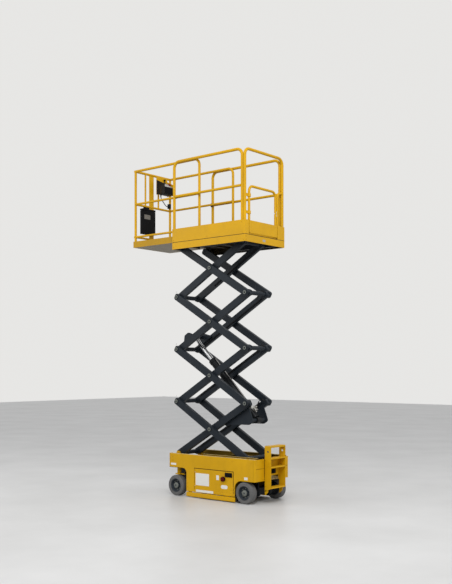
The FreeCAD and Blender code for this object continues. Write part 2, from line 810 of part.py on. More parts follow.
kingpin_tube = ring("KingpinTube", ("front_axle_x", "kingpin_y", tube_low), "Z",
                    "front_skirt_z - sheet - (%s)" % tube_low, "kingpin_tube", "kingpin_bore")
node("chassis_floor", fused("FloorAndTubes", [floor, kingpin_tube,
                                              mirrored("KingpinTubeRight", kingpin_tube)]))

WALL = [(rear_wall, "rear_skirt_z + sheet"), ("belly_rear + sheet", "rear_skirt_z + sheet"),
        ("belly_rear + sheet", "belly_z + sheet"), ("belly_front - sheet", "belly_z + sheet"),
        ("belly_front - sheet", "front_skirt_z"), (front_wall, "front_skirt_z"),
        (front_wall, "chassis_top"), (rear_wall, "chassis_top")]
inner_wall = outline("InnerWall", "XZ", WALL, "track_back", "sheet")

SKIRT = [("chassis_rear + corner_round", "rear_skirt_z"), ("belly_rear", "rear_skirt_z"),
         ("belly_rear", "belly_z"), ("belly_front", "belly_z"), ("belly_front", "front_skirt_z"),
         ("chassis_front - corner_round", "front_skirt_z"),
         ("chassis_front - corner_round", "chassis_top"), ("chassis_rear + corner_round", "chassis_top")]
DOOR_OPENING = [("door_rear - door_gap", "belly_z + sheet"), ("door_front + door_gap", "belly_z + sheet"),
                ("door_front + door_gap", "door_top + door_gap"),
                ("door_rear - door_gap", "door_top + door_gap")]
skirt_sheet = outline("SkirtSheet", "XZ", SKIRT, floor_half, "sheet",
                      [(1, "rear_arch_round"), (4, "front_arch_round")])
opening = outline("DoorOpening", "XZ", DOOR_OPENING, floor_half + " - 1", "sheet + 2",
                  [(2, "door_corner"), (3, "door_corner")])
# half of each door hinge stays on the skirt: a barrel and its leaf in front of the door
HINGES = (("Low", "hinge_low"), ("High", "hinge_high"))


def hinge_half(name, low, toward_front):
    barrel = rod(name + "Barrel", ("door_hinge_x", "door_hinge_y", low), "Z",
                 "hinge_half_height - seat_gap", "hinge_radius")
    leaf_start = "door_hinge_x" if toward_front else "door_hinge_x - hinge_leaf_reach"
    leaf = box(name + "Leaf", (leaf_start, "chassis_half", low),
               ("hinge_leaf_reach", "hinge_leaf", "hinge_half_height - seat_gap"))
    return [barrel, leaf]


skirt_hinges = [piece for name, low in HINGES
                for piece in hinge_half("SkirtHinge" + name, low + " + hinge_half_height", True)]
skirt = fused("Skirt", [cut("SkirtOpened", skirt_sheet, [opening])] + skirt_hinges)
node("chassis_skirt_left", skirt)
node("chassis_skirt_right", mirrored("SkirtRight", skirt))


def end_wall(name, outside, inward, low, high):
    """A chassis end: a sheet whose two vertical corners are bent round to meet the skirts."""
    face = "(%s) %s sheet" % (outside, inward)
    lip = "(%s) %s corner_round" % (outside, inward)
    inner_half = "chassis_half - sheet"
    corners = [(lip, "-chassis_half"), (outside, "-chassis_half"), (outside, "chassis_half"),
               (lip, "chassis_half"), (lip, inner_half), (face, inner_half),
               (face, "-(%s)" % inner_half), (lip, "-(%s)" % inner_half)]
    return outline(name, "XY", corners, low, "(%s) - (%s)" % (high, low),
                   [(1, "corner_round - bend_step"), (2, "corner_round - bend_step"),
                    (5, inner_round), (6, inner_round)])


rear_end = cut("RearEnd", end_wall("RearSheet", "chassis_rear", "+", "rear_skirt_z", "chassis_top"),
               [box("RearNotch", ("chassis_rear - 1", "-ladder_notch_half", "rear_skirt_z - 1"),
                    ("sheet + 1", "2 * ladder_notch_half", "ladder_notch_z - rear_skirt_z + 1"))])
node("chassis_rear_end", rear_end)
front_end = cut("FrontEnd", end_wall("FrontSheet", "chassis_front", "-", "front_skirt_z", "chassis_top"),
                [box("FrontNotch", ("chassis_front - sheet - 1", "-arm_notch_half", "arm_notch_z"),
                     ("sheet + 2", "2 * arm_notch_half", "chassis_top - arm_notch_z + 1"))])
node("chassis_front_end", front_end)

ledge = outline("Ledge", "XY",
                [(rear_wall, "track_back + sheet"), (front_wall, "track_back + sheet"),
                 (front_wall, floor_half), (rear_wall, floor_half)],
                "chassis_top - sheet", "sheet", [(2, inner_round), (3, inner_round)])


def track(name, start, length, height, top):
    """A C-shaped channel for the rollers, open towards the arms, its back up to a given top."""
    inside, back = "roller_in - track_lip_gap", "track_back"
    web = "track_back - track_wall"
    outer_low = "%s - track_half - track_wall" % height
    outer_high = "%s + track_half + track_wall" % height
    corners = [(inside, outer_low), (back, outer_low), (back, top), (web, top), (web, outer_high),
               (inside, outer_high), (inside, "%s + track_half" % height),
               (web, "%s + track_half" % height), (web, "%s - track_half" % height),
               (inside, "%s - track_half" % height)]
    return outline(name, "YZ", corners, start, length)


base_track = track("BaseTrack", rear_wall, "base_track_length", "base_pin_z",
                   "base_pin_z + track_half + track_wall + track_rim")
node("chassis_side_frames", both_sides("SideFrames", fused("SideFrame", [inner_wall, ledge, base_track])))

base_lug = outline("BaseLug", "XZ",
                   [("base_pin_x - lug_foot_rear", "front_skirt_z"),
                    ("base_pin_x + lug_foot_front", "front_skirt_z"),
                    ("base_pin_x + lug_radius", "base_pin_z + lug_radius"),
                    ("base_pin_x - lug_radius", "base_pin_z + lug_radius")],
                   "inner_out + lug_gap", "lug_thick",
                   [(2, "lug_radius - lug_trim"), (3, "lug_radius - lug_trim")])
base_pin = rod("BasePin", ("base_pin_x", "inner_arm_inside + pin_short", "base_pin_z"), "Y",
               "arm_width + lug_gap + lug_thick + lug_pin_end - pin_short", "pin_radius")
node("base_pivot_lugs", both_sides("BaseLugs", fused("BaseLugPin", [base_lug, base_pin])))

# Rear axle: a beam under the raised floor with a drive motor and a stub at each end.
axle_half = "wheel_inside - beam_end_gap"
beam = box("AxleBeam", ("rear_axle_x - beam_half", "-(%s)" % axle_half, "wheel_radius - beam_half"),
           ("2 * beam_half", "2 * (%s)" % axle_half, "2 * beam_half"))
motor = rod("DriveMotor", ("rear_axle_x", "motor_inside", "wheel_radius"), "Y",
            axle_half + " - motor_inside", "motor_radius")
hanger = box("AxleHanger", ("rear_axle_x - hanger_half", "hanger_inside", "wheel_radius"),
             ("2 * hanger_half", "hanger_thick", "rear_skirt_z - wheel_radius"))
stub_axle = rod("RearStub", ("rear_axle_x", "stub_inside", "wheel_radius"), "Y",
                "wheel_outside - stub_end_gap - stub_inside", "stub_radius")
axle_side = fused("AxleSide", [motor, hanger, stub_axle])
node("rear_axle", fused("RearAxle", [beam, axle_side, mirrored("AxleSideRight", axle_side)]))

battery = box("Battery", ("battery_rear", "-battery_half", "belly_z + sheet"),
              ("battery_length", "2 * battery_half", "battery_height"))
node("battery_pack", battery)

# Ladder at the rear end: two deep side plates, three treads and a cap.
ladder_rear = "chassis_rear - ladder_depth"
LADDER_SIDE = [(ladder_rear, "ladder_bottom + ladder_rise"), ("chassis_rear", "ladder_bottom"),
               ("chassis_rear", "ladder_top"), (ladder_rear, "ladder_top")]
ladder_side = cut("LadderSide",
                  outline("LadderPlate", "XZ", LADDER_SIDE, "ladder_half - sheet", "sheet",
                          [(2, "ladder_corner"), (3, "ladder_corner")]),
                  [rod("LadderHole", ("chassis_rear - ladder_depth / 2", "ladder_half - sheet - 1",
                                      "ladder_top - lashing_hole_drop"), "Y", "sheet + 2",
                       "lashing_hole_radius")])
treads = [box("Tread%d" % count, (ladder_rear, "-ladder_half + sheet", level + " - step_thick"),
              ("ladder_depth", "2 * (ladder_half - sheet)", "step_thick"))
          for count, level in enumerate(("step_low", "step_mid", "step_top"))]
ladder_cap = box("LadderCap", (ladder_rear, "-ladder_half + sheet", "ladder_top - ladder_cap"),
                 ("ladder_depth", "2 * (ladder_half - sheet)", "ladder_cap"))
node("ladder", fused("Ladder", [ladder_side, mirrored("LadderSideRight", ladder_side), ladder_cap] + treads))


# Doors of the two side trays, hinged at their front edges, as shallow pans.
def door(name):
    corners = [("door_rear", "door_low"), ("door_front", "door_low"), ("door_front", "door_top"),
               ("door_rear", "door_top")]
    shell = outline(name + "Skin", "XZ", corners, "chassis_half - door_depth", "door_depth",
                    [(2, "door_corner - door_gap"), (3, "door_corner - door_gap")])
    hollow = box(name + "Hollow", ("door_rear + door_sheet", "chassis_half - door_depth - 1",
                                   "door_low + door_sheet"),
                 ("door_front - door_rear - 2 * door_sheet", "door_depth + 1 - door_sheet",
                  "door_top - door_low - 2 * door_sheet"))
    hinges = [piece for which, low in HINGES
              for piece in hinge_half(name + "Hinge" + which, low, False)]
    return fused(name, [cut(name + "Pan", shell, [hollow])] + hinges)


left_door = door("TrayDoor")
node("tray_door_left", left_door)
node("tray_door_right", mirrored("TrayDoorRight", left_door))
ground_panel = box("GroundPanel", ("door_rear + panel_inset", "chassis_half",
                                   "door_top - panel_top_gap - panel_height"),
                   ("panel_width", "panel_thick", "panel_height"))
stop_x, stop_z = "door_rear + stop_inset", "door_top - stop_drop"
stop_base = rod("StopBase", (stop_x, "chassis_half", stop_z), "Y", "stop_base_thick", "stop_base_radius")
stop_stem = rod("StopStem", (stop_x, "chassis_half + stop_base_thick", stop_z), "Y", "stop_stem_length",
                "stop_stem_radius")
stop_head = rod("StopHead", (stop_x, "chassis_half + stop_base_thick + stop_stem_length", stop_z), "Y",
                "stop_head_thick", "stop_head_radius")
emergency_stop = fused("EmergencyStop", [stop_base, stop_stem, stop_head])
node("ground_controls", group("GroundControls", [ground_panel, emergency_stop]))

# Guards that hang under the doors and swing in under the belly.
guard_out = "chassis_half + guard_proud"
guard_length = "belly_front - guard_rear - guard_end_gap"
guard_plate = outline("GuardPlate", "YZ",
                      [(guard_out, "guard_bottom"), (guard_out, "guard_top"),
                       ("chassis_half - guard_flange", "guard_top"),
                       ("chassis_half - guard_flange", "guard_top - guard_flange_thick"),
                       (guard_out + " - guard_thick", "guard_top - guard_flange_thick"),
                       (guard_out + " - guard_thick", "guard_bottom")],
                      "guard_rear + guard_end_gap", guard_length)
guard_hinge = rod("GuardHinge", ("guard_rear + guard_end_gap", "chassis_half - guard_hinge_inset",
                                 "guard_hinge_z"), "X", guard_length, "guard_hinge_radius")
guard = fused("Guard", [guard_plate, guard_hinge])
node("pothole_guard_left", guard)
node("pothole_guard_right", mirrored("GuardRight", guard))


# Wheels: a solid tyre with rounded shoulders on a dished rim with a flanged hub.
def wheel(name, axle_x, label):
    at = (axle_x, "wheel_inside", "wheel_radius")
    width = "wheel_width"
    tyre = turned(name + "Tyre",
                  [("0", "tyre_bore"), ("0", "wheel_radius - tyre_round"),
                   ("tyre_round * 0.3", "wheel_radius - tyre_round * 0.3"),
                   ("tyre_round", "wheel_radius"), (width + " - tyre_round", "wheel_radius"),
                   (width + " - tyre_round * 0.3", "wheel_radius - tyre_round * 0.3"),
                   (width, "wheel_radius - tyre_round"), (width, "tyre_bore")], at)
    bore = "stub_radius + stub_clearance"
    rim = turned(name + "Rim",
                 [("rim_inset", bore), ("rim_inset", "hub_radius"), ("dish_back", "hub_radius"),
                  ("dish_back", "tyre_bore - rim_wall"), ("rim_inset", "tyre_bore - rim_wall"),
                  ("rim_inset", "tyre_bore"), (width + " - rim_outer_inset", "tyre_bore"),
                  (width + " - rim_outer_inset", "tyre_bore - rim_wall"),
                  ("dish_rim_depth", "tyre_bore - rim_wall - dish_rim_width"),
                  ("dish_root_depth", "hub_radius + dish_root_width"),
                  ("hub_face", "hub_radius - hub_taper"), ("hub_face", bore)], at)
    return tyre, rim, label


for tyre, rim, label in (wheel("Rear", "rear_axle_x", "rear"), wheel("Front", "front_axle_x", "front")):
    node("tyre_%s_left" % label, tyre)
    node("rim_%s_left" % label, rim)
    node("tyre_%s_right" % label, mirrored(tyre.Name + "Right", tyre))
    node("rim_%s_right" % label, mirrored(rim.Name + "Right", rim))

# Steering knuckle: a yoke plate over the wheel, its leg and stub, the kingpin and an arm.
yoke_leg = "wheel_inside - yoke_leg_gap"
yoke_plate = outline("YokePlate", "XY",
                     [("front_axle_x - yoke_half", yoke_leg), ("front_axle_x + yoke_half", yoke_leg),
                      ("front_axle_x + yoke_half", "kingpin_y + yoke_reach"),
                      ("front_axle_x - yoke_half", "kingpin_y + yoke_reach")],
                     "yoke_z", "yoke_thick", [(2, "yoke_round"), (3, "yoke_round")])
leg = box("YokeLeg", ("front_axle_x - yoke_half", yoke_leg, "wheel_radius - yoke_leg_drop"),
          ("2 * yoke_half", "yoke_leg_thick", "yoke_z - wheel_radius + yoke_leg_drop"))
front_stub = rod("FrontStub", ("front_axle_x", yoke_leg, "wheel_radius"), "Y",
                 "wheel_outside - stub_end_gap - (%s)" % yoke_leg, "stub_radius")
kingpin = rod("Kingpin", ("front_axle_x", "kingpin_y", "yoke_z"), "Z",
              "front_skirt_z - sheet - kingpin_top_gap - yoke_z", "kingpin_radius")
steer_plate = outline("SteerArm", "XY",
                      [("front_axle_x - steer_arm - link_eye", "kingpin_y - link_eye"),
                       ("front_axle_x", "kingpin_y - link_eye - steer_arm_flare"),
                       ("front_axle_x", "kingpin_y + link_eye + steer_arm_flare"),
                       ("front_axle_x - steer_arm - link_eye", "kingpin_y + link_eye")],
                      "yoke_z", "yoke_thick", [(0, "link_eye - 1"), (3, "link_eye - 1")])
link_pin = rod("LinkPin", ("front_axle_x - steer_arm", "kingpin_y", "yoke_z"), "Z",
               "yoke_thick + link_gap + link_thick + link_pin_end", "link_pin")
knuckle = fused("Knuckle", [yoke_plate, leg, front_stub, kingpin, steer_plate, link_pin])
node("knuckle_left", knuckle)
node("knuckle_right", mirrored("KnuckleRight", knuckle))

link_x = "front_axle_x - steer_arm"
link_z = "yoke_z + yoke_thick + link_gap"
link_bar = box("LinkBar", (link_x + " - link_half", "-kingpin_y", link_z),
               ("2 * link_half", "2 * kingpin_y", "link_thick"))
eyes = [rod("LinkEye%d" % count, (link_x, side, link_z), "Z", "link_thick", "link_eye")
        for count, side in enumerate(("kingpin_y", "-kingpin_y"))]
eye_bores = [rod("LinkBore%d" % count, (link_x, side, link_z + " - 1"), "Z", "link_thick + 2",
                 "link_pin + pin_clearance") for count, side in enumerate(("kingpin_y", "-kingpin_y"))]
node("steering_link", cut("SteeringLink", fused("LinkBody", [link_bar] + eyes), eye_bores))


# Platform: edge channels, joists, deck plate, toe boards, tracks and pivot lugs.
deck_length = "deck_front - deck_rear"
CHANNEL = [("deck_half - sheet", "channel_z + sheet"), ("deck_half - channel_lip", "channel_z + sheet"),
           ("deck_half - channel_lip", "channel_z"), ("deck_half", "channel_z"),
           ("deck_half", "deck_z"), ("deck_half - channel_lip", "deck_z"),
           ("deck_half - channel_lip", "deck_z - sheet"), ("deck_half - sheet", "deck_z - sheet")]
side_channel = outline("SideChannel", "YZ", CHANNEL, "deck_rear + sheet", deck_length + " - 2 * sheet")
rear_channel = box("RearChannel", ("deck_rear", "-deck_half", "channel_z"),
                   ("sheet", "2 * deck_half", "deck_z - channel_z"))
front_corner = box("FrontCorner", ("deck_front - sheet", "arm_notch_half", "channel_z"),
                   ("sheet", "deck_half - arm_notch_half", "deck_z - channel_z"))
front_middle = box("FrontMiddle", ("deck_front - sheet", "-deck_nose_half", "deck_z - joist_depth"),
                   ("sheet", "2 * deck_nose_half", "joist_depth"))
joist_half = "deck_half - channel_lip"
joists = [box("Joist%d" % count, (place, "-(%s)" % joist_half, "deck_z - joist_depth"),
              ("joist_width", "2 * (%s)" % joist_half, "joist_depth"))
          for count, place in enumerate(("joist_front", "joist_middle"))]
brackets = [box("TrackBracket%d" % count, (place, "inner_out + lug_gap", "deck_z - joist_depth"),
                ("joist_width", joist_half + " - inner_out - lug_gap", "joist_depth"))
            for count, place in enumerate(("bracket_front", "bracket_rear"))]
joists += brackets + [mirrored(bracket.Name + "Right", bracket) for bracket in brackets]
node("platform_frame", fused("PlatformFrame", [side_channel, mirrored("SideChannelRight", side_channel),
                                               rear_channel, front_corner,
                                               mirrored("FrontCornerRight", front_corner),
                                               front_middle] + joists))
deck = box("Deck", ("deck_rear", "-deck_half", "deck_z"), (deck_length, "2 * deck_half", "deck_thick"))
main_pad = box("MainPad", ("deck_front - pad_length - pad_inset", "main_pad_y", "deck_top"),
               ("pad_length", "pad_width", "ext_gap - pad_clearance"))
node("platform_deck", fused("DeckAndPads", [deck, main_pad, mirrored("MainPadRight", main_pad)]))

toe_side = box("ToeSide", ("deck_rear + toe_thick", "deck_half - toe_thick", "deck_top"),
               (deck_length + " - toe_thick", "toe_thick", "toe_top - deck_top"))
toe_rear = box("ToeRear", ("deck_rear", "-deck_half", "deck_top"),
               ("toe_thick", "deck_half - gate_post_y + gate_radius + toe_post_gap", "toe_top - deck_top"))
toe_near = box("ToeNear", ("deck_rear", "gate_hinge_y + gate_toe_gap", "deck_top"),
               ("toe_thick", "deck_half - gate_hinge_y - gate_toe_gap", "toe_top - deck_top"))
node("toe_boards", group("ToeBoards", [toe_side, mirrored("ToeSideRight", toe_side), toe_rear, toe_near]))

top_track = track("TopTrack", "deck_rear + top_track_rear", "top_track_length", "top_pin_z",
                  "deck_z - joist_depth")
node("platform_tracks", both_sides("TopTracks", top_track))
lug_in = "outer_out + lug_gap"
top_lug = outline("TopLug", "XZ",
                  [("top_pin_x - lug_radius", "top_pin_z - lug_radius"),
                   ("top_pin_x + lug_radius", "top_pin_z - lug_radius"),
                   ("top_pin_x + lug_radius", "top_pin_z"), ("deck_front - sheet", "deck_z"),
                   ("top_pin_x - top_lug_heel", "deck_z"), ("top_pin_x - lug_radius", "top_pin_z")],
                  lug_in, "lug_thick", [(0, "lug_radius - lug_trim"), (1, "lug_radius - lug_trim")])
top_pin = rod("TopPin", ("top_pin_x", "outer_in + pin_short", "top_pin_z"), "Y",
              "arm_width + lug_gap + lug_thick + lug_pin_end - pin_short", "pin_radius")
node("platform_pivot_lugs", both_sides("TopLugs", fused("TopLugPin", [top_lug, top_pin])))


# Guard rails of the main deck: side hoops with a middle rail, and the rear frame.
def side_rail(name, front, rear, across, low, radius, middle_radius, square_front=False):
    """A hoop with a middle rail; its front corner can be square, with a toe bar as well."""
    reach = "(%s) - (%s)" % (front, rear)
    height = "rail_top - (%s)" % low
    middle = rod(name + "Middle", (rear, across, "rail_mid"), "X", reach, middle_radius)
    if not square_front:
        frame = hoop(name + "Hoop", "XZ", (rear, across, low), reach, height, "rail_bend", radius)
        return fused(name, [frame, middle])
    frame = hoop(name + "Hoop", "XZ", (rear, across, low), reach + " + " + radius, height, "rail_bend",
                 radius, legs=1)
    post = rod(name + "Post", (front, across, low), "Z", height, radius)
    toe = rod(name + "Toe", (rear, across, "ext_toe_z"), "X", "ext_front - (%s)" % rear, "ext_toe_radius")
    return fused(name, [frame, middle, post, toe])


main_rail = side_rail("MainRail", "front_post_x", "side_rear_post_x", "post_y", "deck_top",
                      "rail_radius", "rail_mid_radius")
node("main_rail_left", main_rail)
node("main_rail_right", mirrored("MainRailRight", main_rail))

rear_hoop = hoop("RearHoop", "YZ", ("rear_post_x", "-post_y", "deck_top"), "2 * post_y",
                 "rail_top - deck_top", "rail_bend", "rail_radius")
stop_tube = hoop("StopTube", "YZ", ("rear_post_x", "gate_post_y", "deck_top"), "post_y - gate_post_y",
                 "rail_mid - deck_top", "gate_post_bend", "gate_radius", legs=1)
collars = []
for count, level in enumerate(("collar_low", "collar_high")):
    collar_ring = rod("Collar%d" % count, ("rear_post_x", "gate_hinge_y", level), "Z", "collar_height",
                      "gate_radius + pin_clearance + collar_wall")
    arm = box("CollarArm%d" % count, ("rear_post_x - collar_arm_half", "gate_hinge_y + gate_radius", level),
              ("2 * collar_arm_half", "post_y - rail_radius - gate_hinge_y - gate_radius", "collar_height"))
    bore = rod("CollarBore%d" % count, ("rear_post_x", "gate_hinge_y", level + " - 1"), "Z",
               "collar_height + 2", "gate_radius + pin_clearance")
    collars.append(cut("HingeCollar%d" % count, fused("CollarBody%d" % count, [collar_ring, arm]), [bore]))
node("rear_rail", fused("RearRail", [rear_hoop, mirrored("StopTubeRight", stop_tube)] + collars))

# Gate: a bent frame with a middle bar and its own toe panel.
gate_low = "deck_top + gate_floor_gap"
gate_width = "gate_hinge_y - gate_latch_y"
gate_frame = hoop("GateHoop", "YZ", ("rear_post_x", "gate_latch_y", gate_low), gate_width,
                  "rail_mid - (%s)" % gate_low, "gate_bend", "gate_radius")
gate_toe = box("GateToe", ("rear_post_x - gate_radius - toe_thick", "gate_latch_y - gate_radius", gate_low),
               ("toe_thick", gate_width + " + 2 * gate_radius", "toe_top - (%s)" % gate_low))
node("gate", fused("Gate", [gate_frame, gate_toe]))


# Deck extension, nested inside the main rails.
ext_length = "ext_front - ext_rear"
ext_plate = box("ExtDeck", ("ext_rear", "-ext_half + sheet", "ext_z"),
                (ext_length + " - sheet", "2 * (ext_half - sheet)", "ext_thick"))
ext_side = box("ExtSide", ("ext_rear", "ext_half - sheet", "ext_z"),
               (ext_length + " - sheet", "sheet", "ext_side_height"))
ext_nose = box("ExtNose", ("ext_front - sheet", "-ext_half", "ext_z"),
               ("sheet", "2 * ext_half", "ext_side_height"))
ext_pad = box("ExtPad", ("ext_rear + pad_inset", "ext_pad_y", "deck_top + pad_clearance"),
              ("pad_length", "pad_width", "ext_gap - pad_clearance"))
node("extension_deck", fused("ExtDeckBody", [ext_plate, ext_side, mirrored("ExtSideRight", ext_side),
                                             ext_nose, ext_pad, mirrored("ExtPadRight", ext_pad)]))

ext_rail = side_rail("ExtRail", "ext_post_x", "ext_rear_post_x", "ext_post_y", "ext_top",
                     "ext_rail_radius", "ext_mid_radius", square_front=True)
node("extension_rail_left", ext_rail)
node("extension_rail_right", mirrored("ExtRailRight", ext_rail))

# Front bars, their ends coped to fit round the side rails' tubes. Columns: name, height, radius.
FRONT_BARS = (("Top", "rail_top", "ext_rail_radius"), ("Mid", "rail_mid", "ext_mid_radius"),
              ("Toe", "ext_toe_z", "ext_toe_radius"))
front_bars = [rod("FrontBar" + name, ("ext_post_x", "-ext_post_y", level), "Y", "2 * ext_post_y", radius)
              for name, level, radius in FRONT_BARS]
copes = [rod("Cope" + name, ("ext_post_x - 2 * ext_rail_radius", "ext_post_y", level), "X",
             "4 * ext_rail_radius", radius + " + seat_gap") for name, level, radius in FRONT_BARS]
copes.append(rod("CopePost", ("ext_post_x", "ext_post_y", "ext_top"), "Z", "rail_top - ext_top",
                 "ext_rail_radius + seat_gap"))
copes += [mirrored(cope.Name + "Right", cope) for cope in copes]
wide_post = box("WidePost", ("ext_post_x - wide_post_thick / 2", "wide_post_y - wide_post_width / 2",
                             "ext_top"), ("wide_post_thick", "wide_post_width", "rail_top - ext_top"))
stays = [rod(name, ("ext_post_x", across, "rail_mid"), "Z", "rail_top - rail_mid", "stay_radius")
         for name, across in (("NearStay", "manual_y"), ("FarStay", "console_y + far_stay_offset"))]
node("extension_front_rail", cut("ExtFrontRail", fused("ExtFrontBars", front_bars + [wide_post] + stays),
                                 copes))

manual_back = "ext_post_x - ext_mid_radius"
manual = box("ManualBox", (manual_back + " - manual_depth", "manual_y - manual_width / 2", "manual_low"),
             ("manual_depth", "manual_width", "manual_height"))
manual_hook = box("ManualHook", (manual_back + " - hook_thick", "manual_y - hook_width / 2",
                                 "manual_low + manual_height"),
                  ("hook_thick", "hook_width", "rail_mid - manual_low - manual_height"))
node("manual_box", fused("ManualStore", [manual, manual_hook]))

# Platform control console: a wedge-shaped housing in a folded guard, with a lever on top.
console_back = "ext_post_x - ext_rail_radius - console_post_gap"
console_left = "console_y - console_width / 2"
console_top = "console_low + console_height"
CONSOLE = [(console_back, "console_low"), (console_back, console_top),
           (console_back + " - console_ridge", console_top),
           (console_back + " - console_depth", "console_low + console_nose"),
           (console_back + " - console_depth", "console_low")]
console = outline("Console", "XZ", CONSOLE, console_left, "console_width",
                  [(2, "console_ridge_round"), (3, "console_nose_round"), (4, "console_foot_round")])
hood_back = box("HoodBack", (console_back, console_left + " - hood_margin", "console_low"),
                ("hood_back_thick", "console_width + 2 * hood_margin", "rail_top - console_low"))
hood_front = console_back + " - console_depth - hood_reach"
HOOD = [(console_back, "console_low - hood_margin"), (console_back, console_top + " + hood_rise"),
        (hood_front, "console_low + console_nose + hood_rise"), (hood_front, "console_low - hood_margin")]
hood_sides = [outline(name, "XZ", HOOD, start, "hood_thick", [(2, "hood_brow_round"), (3, "hood_foot_round")])
              for name, start in (("HoodSide", console_left + " - hood_margin"),
                                  ("HoodFar", console_left + " + console_width + hood_margin - hood_thick"))]
node("console_guard", fused("ConsoleGuard", [hood_back] + hood_sides))
lever_x = console_back + " - lever_inset"
lever = rod("Lever", (lever_x, "console_y - lever_offset", console_top), "Z", "lever_height", "lever_radius")
knob = doc.addObject("Part::Sphere", "LeverKnob")
bind(knob, "Radius", "handle_radius")
put(knob, (lever_x, "console_y - lever_offset", console_top + " + knob_height"))
node("platform_console", fused("ConsoleAndLever", [console, lever, knob]))

# Control cable: from the gland under the console it hangs to a junction box on the far post.
gland_at = (console_back + " - gland_inset", "console_y + console_width / 2 - gland_side_inset",
            "console_low - gland_drop")
cable_gland = rod("CableGland", gland_at, "Z", "gland_drop", "gland_radius")
junction = box("Junction", ("ext_post_x + junction_front - junction_width",
                            "-(ext_post_y - ext_rail_radius)", "junction_z"),
               ("junction_width", "junction_depth", "junction_height"))
node("cable_fittings", group("CableFittings", [cable_gland, junction]))

start = Vector(*(value(text) for text in gland_at))
finish = Vector(value("ext_post_x - junction_port_inset"),
                value("junction_depth - (ext_post_y - ext_rail_radius)"),
                value("junction_z + junction_port_height"))
CABLE_ROUTE = [start, start + Vector(0, 0, -34), start + Vector(4, -26, -66),
               start + Vector(12, -72, -96), finish + Vector(-22, 96, 14), finish + Vector(0, 44, 0),
               finish]


def cable_path(points):
    """Straight runs joined by arcs that touch them, and the radii of those arcs."""
    edges, radii, last = [], [], points[0]
    for before, corner, after in zip(points, points[1:], points[2:]):
        back, ahead = before - corner, after - corner
        half_turn = (math.pi - back.getAngle(ahead)) / 2
        reach = 0.45 * min(back.Length, ahead.Length)
        radii.append(reach / math.tan(half_turn))
        touch_in = corner + back * (reach / back.Length)
        touch_out = corner + ahead * (reach / ahead.Length)
        bisector = back * (1 / back.Length) + ahead * (1 / ahead.Length)
        to_arc = radii[-1] / math.cos(half_turn) - radii[-1]
        crown = corner + bisector * (to_arc / bisector.Length)
        edges.append(Part.LineSegment(last, touch_in).toShape())
        edges.append(Part.Arc(touch_in, crown, touch_out).toShape())
        last = touch_out
    edges.append(Part.LineSegment(last, points[-1]).toShape())
    return Part.Wire(edges), radii


path, cable_radii = cable_path(CABLE_ROUTE)
print("cable radii", [round(number) for number in cable_radii], "length", round(path.Length))
cable_section = Part.Wire(Part.makeCircle(value("cable_radius"), start, CABLE_ROUTE[1] - start))
cable = doc.addObject("Part::Feature", "Cable")
cable.Shape = path.makePipeShell([cable_section], True, False)
cable_volume = math.pi * value("cable_radius") ** 2 * path.Length
print("cable volume over section times length", round(cable.Shape.Volume / cable_volume, 4))
node("console_cable", cable)


# Rebuild, check every piece and write it.
doc.recompute()
broken = [item.Name for item in doc.Objects if {"Invalid", "Error"} & set(item.State)]
broken += [item.Label for item in NODES if item.Shape.isNull() or not item.Shape.isValid()]
if broken:
    raise RuntimeError("these pieces failed: " + ", ".join(broken))
os.makedirs("parts", exist_ok=True)
for item in NODES:
    item.Shape.exportStep("parts/%s.step" % item.Label)
print(len(NODES), "nodes")
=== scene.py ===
import json
import math

import bmesh
import bpy
from mathutils import Matrix, Vector


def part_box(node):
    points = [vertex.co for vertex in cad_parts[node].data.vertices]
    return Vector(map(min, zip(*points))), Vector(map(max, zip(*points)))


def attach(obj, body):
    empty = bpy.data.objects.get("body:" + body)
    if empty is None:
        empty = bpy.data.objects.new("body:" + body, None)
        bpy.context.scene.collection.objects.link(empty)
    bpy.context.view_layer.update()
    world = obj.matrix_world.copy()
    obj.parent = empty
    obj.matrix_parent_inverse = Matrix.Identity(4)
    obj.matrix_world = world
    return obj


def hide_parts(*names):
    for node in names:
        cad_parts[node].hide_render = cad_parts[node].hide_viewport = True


bl_info = {
    "name": "Scissor Lift",
    "version": (1, 0, 0),
    "blender": (4, 5, 0),
    "location": "3D View > Sidebar > Lift",
    "description": "Finishes and fittings of a compact electric scissor lift on its packed frame",
    "category": "Object",
}

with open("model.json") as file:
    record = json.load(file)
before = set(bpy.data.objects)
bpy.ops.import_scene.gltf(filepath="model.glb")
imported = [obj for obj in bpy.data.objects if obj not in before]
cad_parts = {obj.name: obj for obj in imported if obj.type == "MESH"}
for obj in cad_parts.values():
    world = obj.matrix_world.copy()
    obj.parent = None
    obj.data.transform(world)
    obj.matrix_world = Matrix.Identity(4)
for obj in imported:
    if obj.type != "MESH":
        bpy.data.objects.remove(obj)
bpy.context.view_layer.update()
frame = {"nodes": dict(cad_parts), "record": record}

# Places that the part's source also states, in metres.
REST_ANGLE = math.radians(30.8)
ARM_LENGTH = 1.460
TOP_HALF_ARM = 0.625
STAGE_RISE = ARM_LENGTH * math.sin(REST_ANGLE)
BASE_PIN = Vector((0.423, 0.0, 0.587))
REAR_PIN_X = BASE_PIN.x - ARM_LENGTH * math.cos(REST_ANGLE)
INNER_FACE, INNER_OUT, OUTER_FACE = 0.170, 0.220, 0.275
CROSS_TUBE = 0.030
SIDES = ((1, "left"), (-1, "right"))
STAGES = (1, 2, 3, 4)
AXLES = (("rear", -0.900), ("front", 0.341))
WHEEL_HEIGHT, WHEEL_INSIDE, WHEEL_WIDTH = 0.146, 0.278, 0.100
CYLINDER_FOOT = Vector((-0.8336, 0.0, 1.0998))
CYLINDER_HEAD = Vector((0.3110, 0.0, 2.2653))


# Shader helpers.

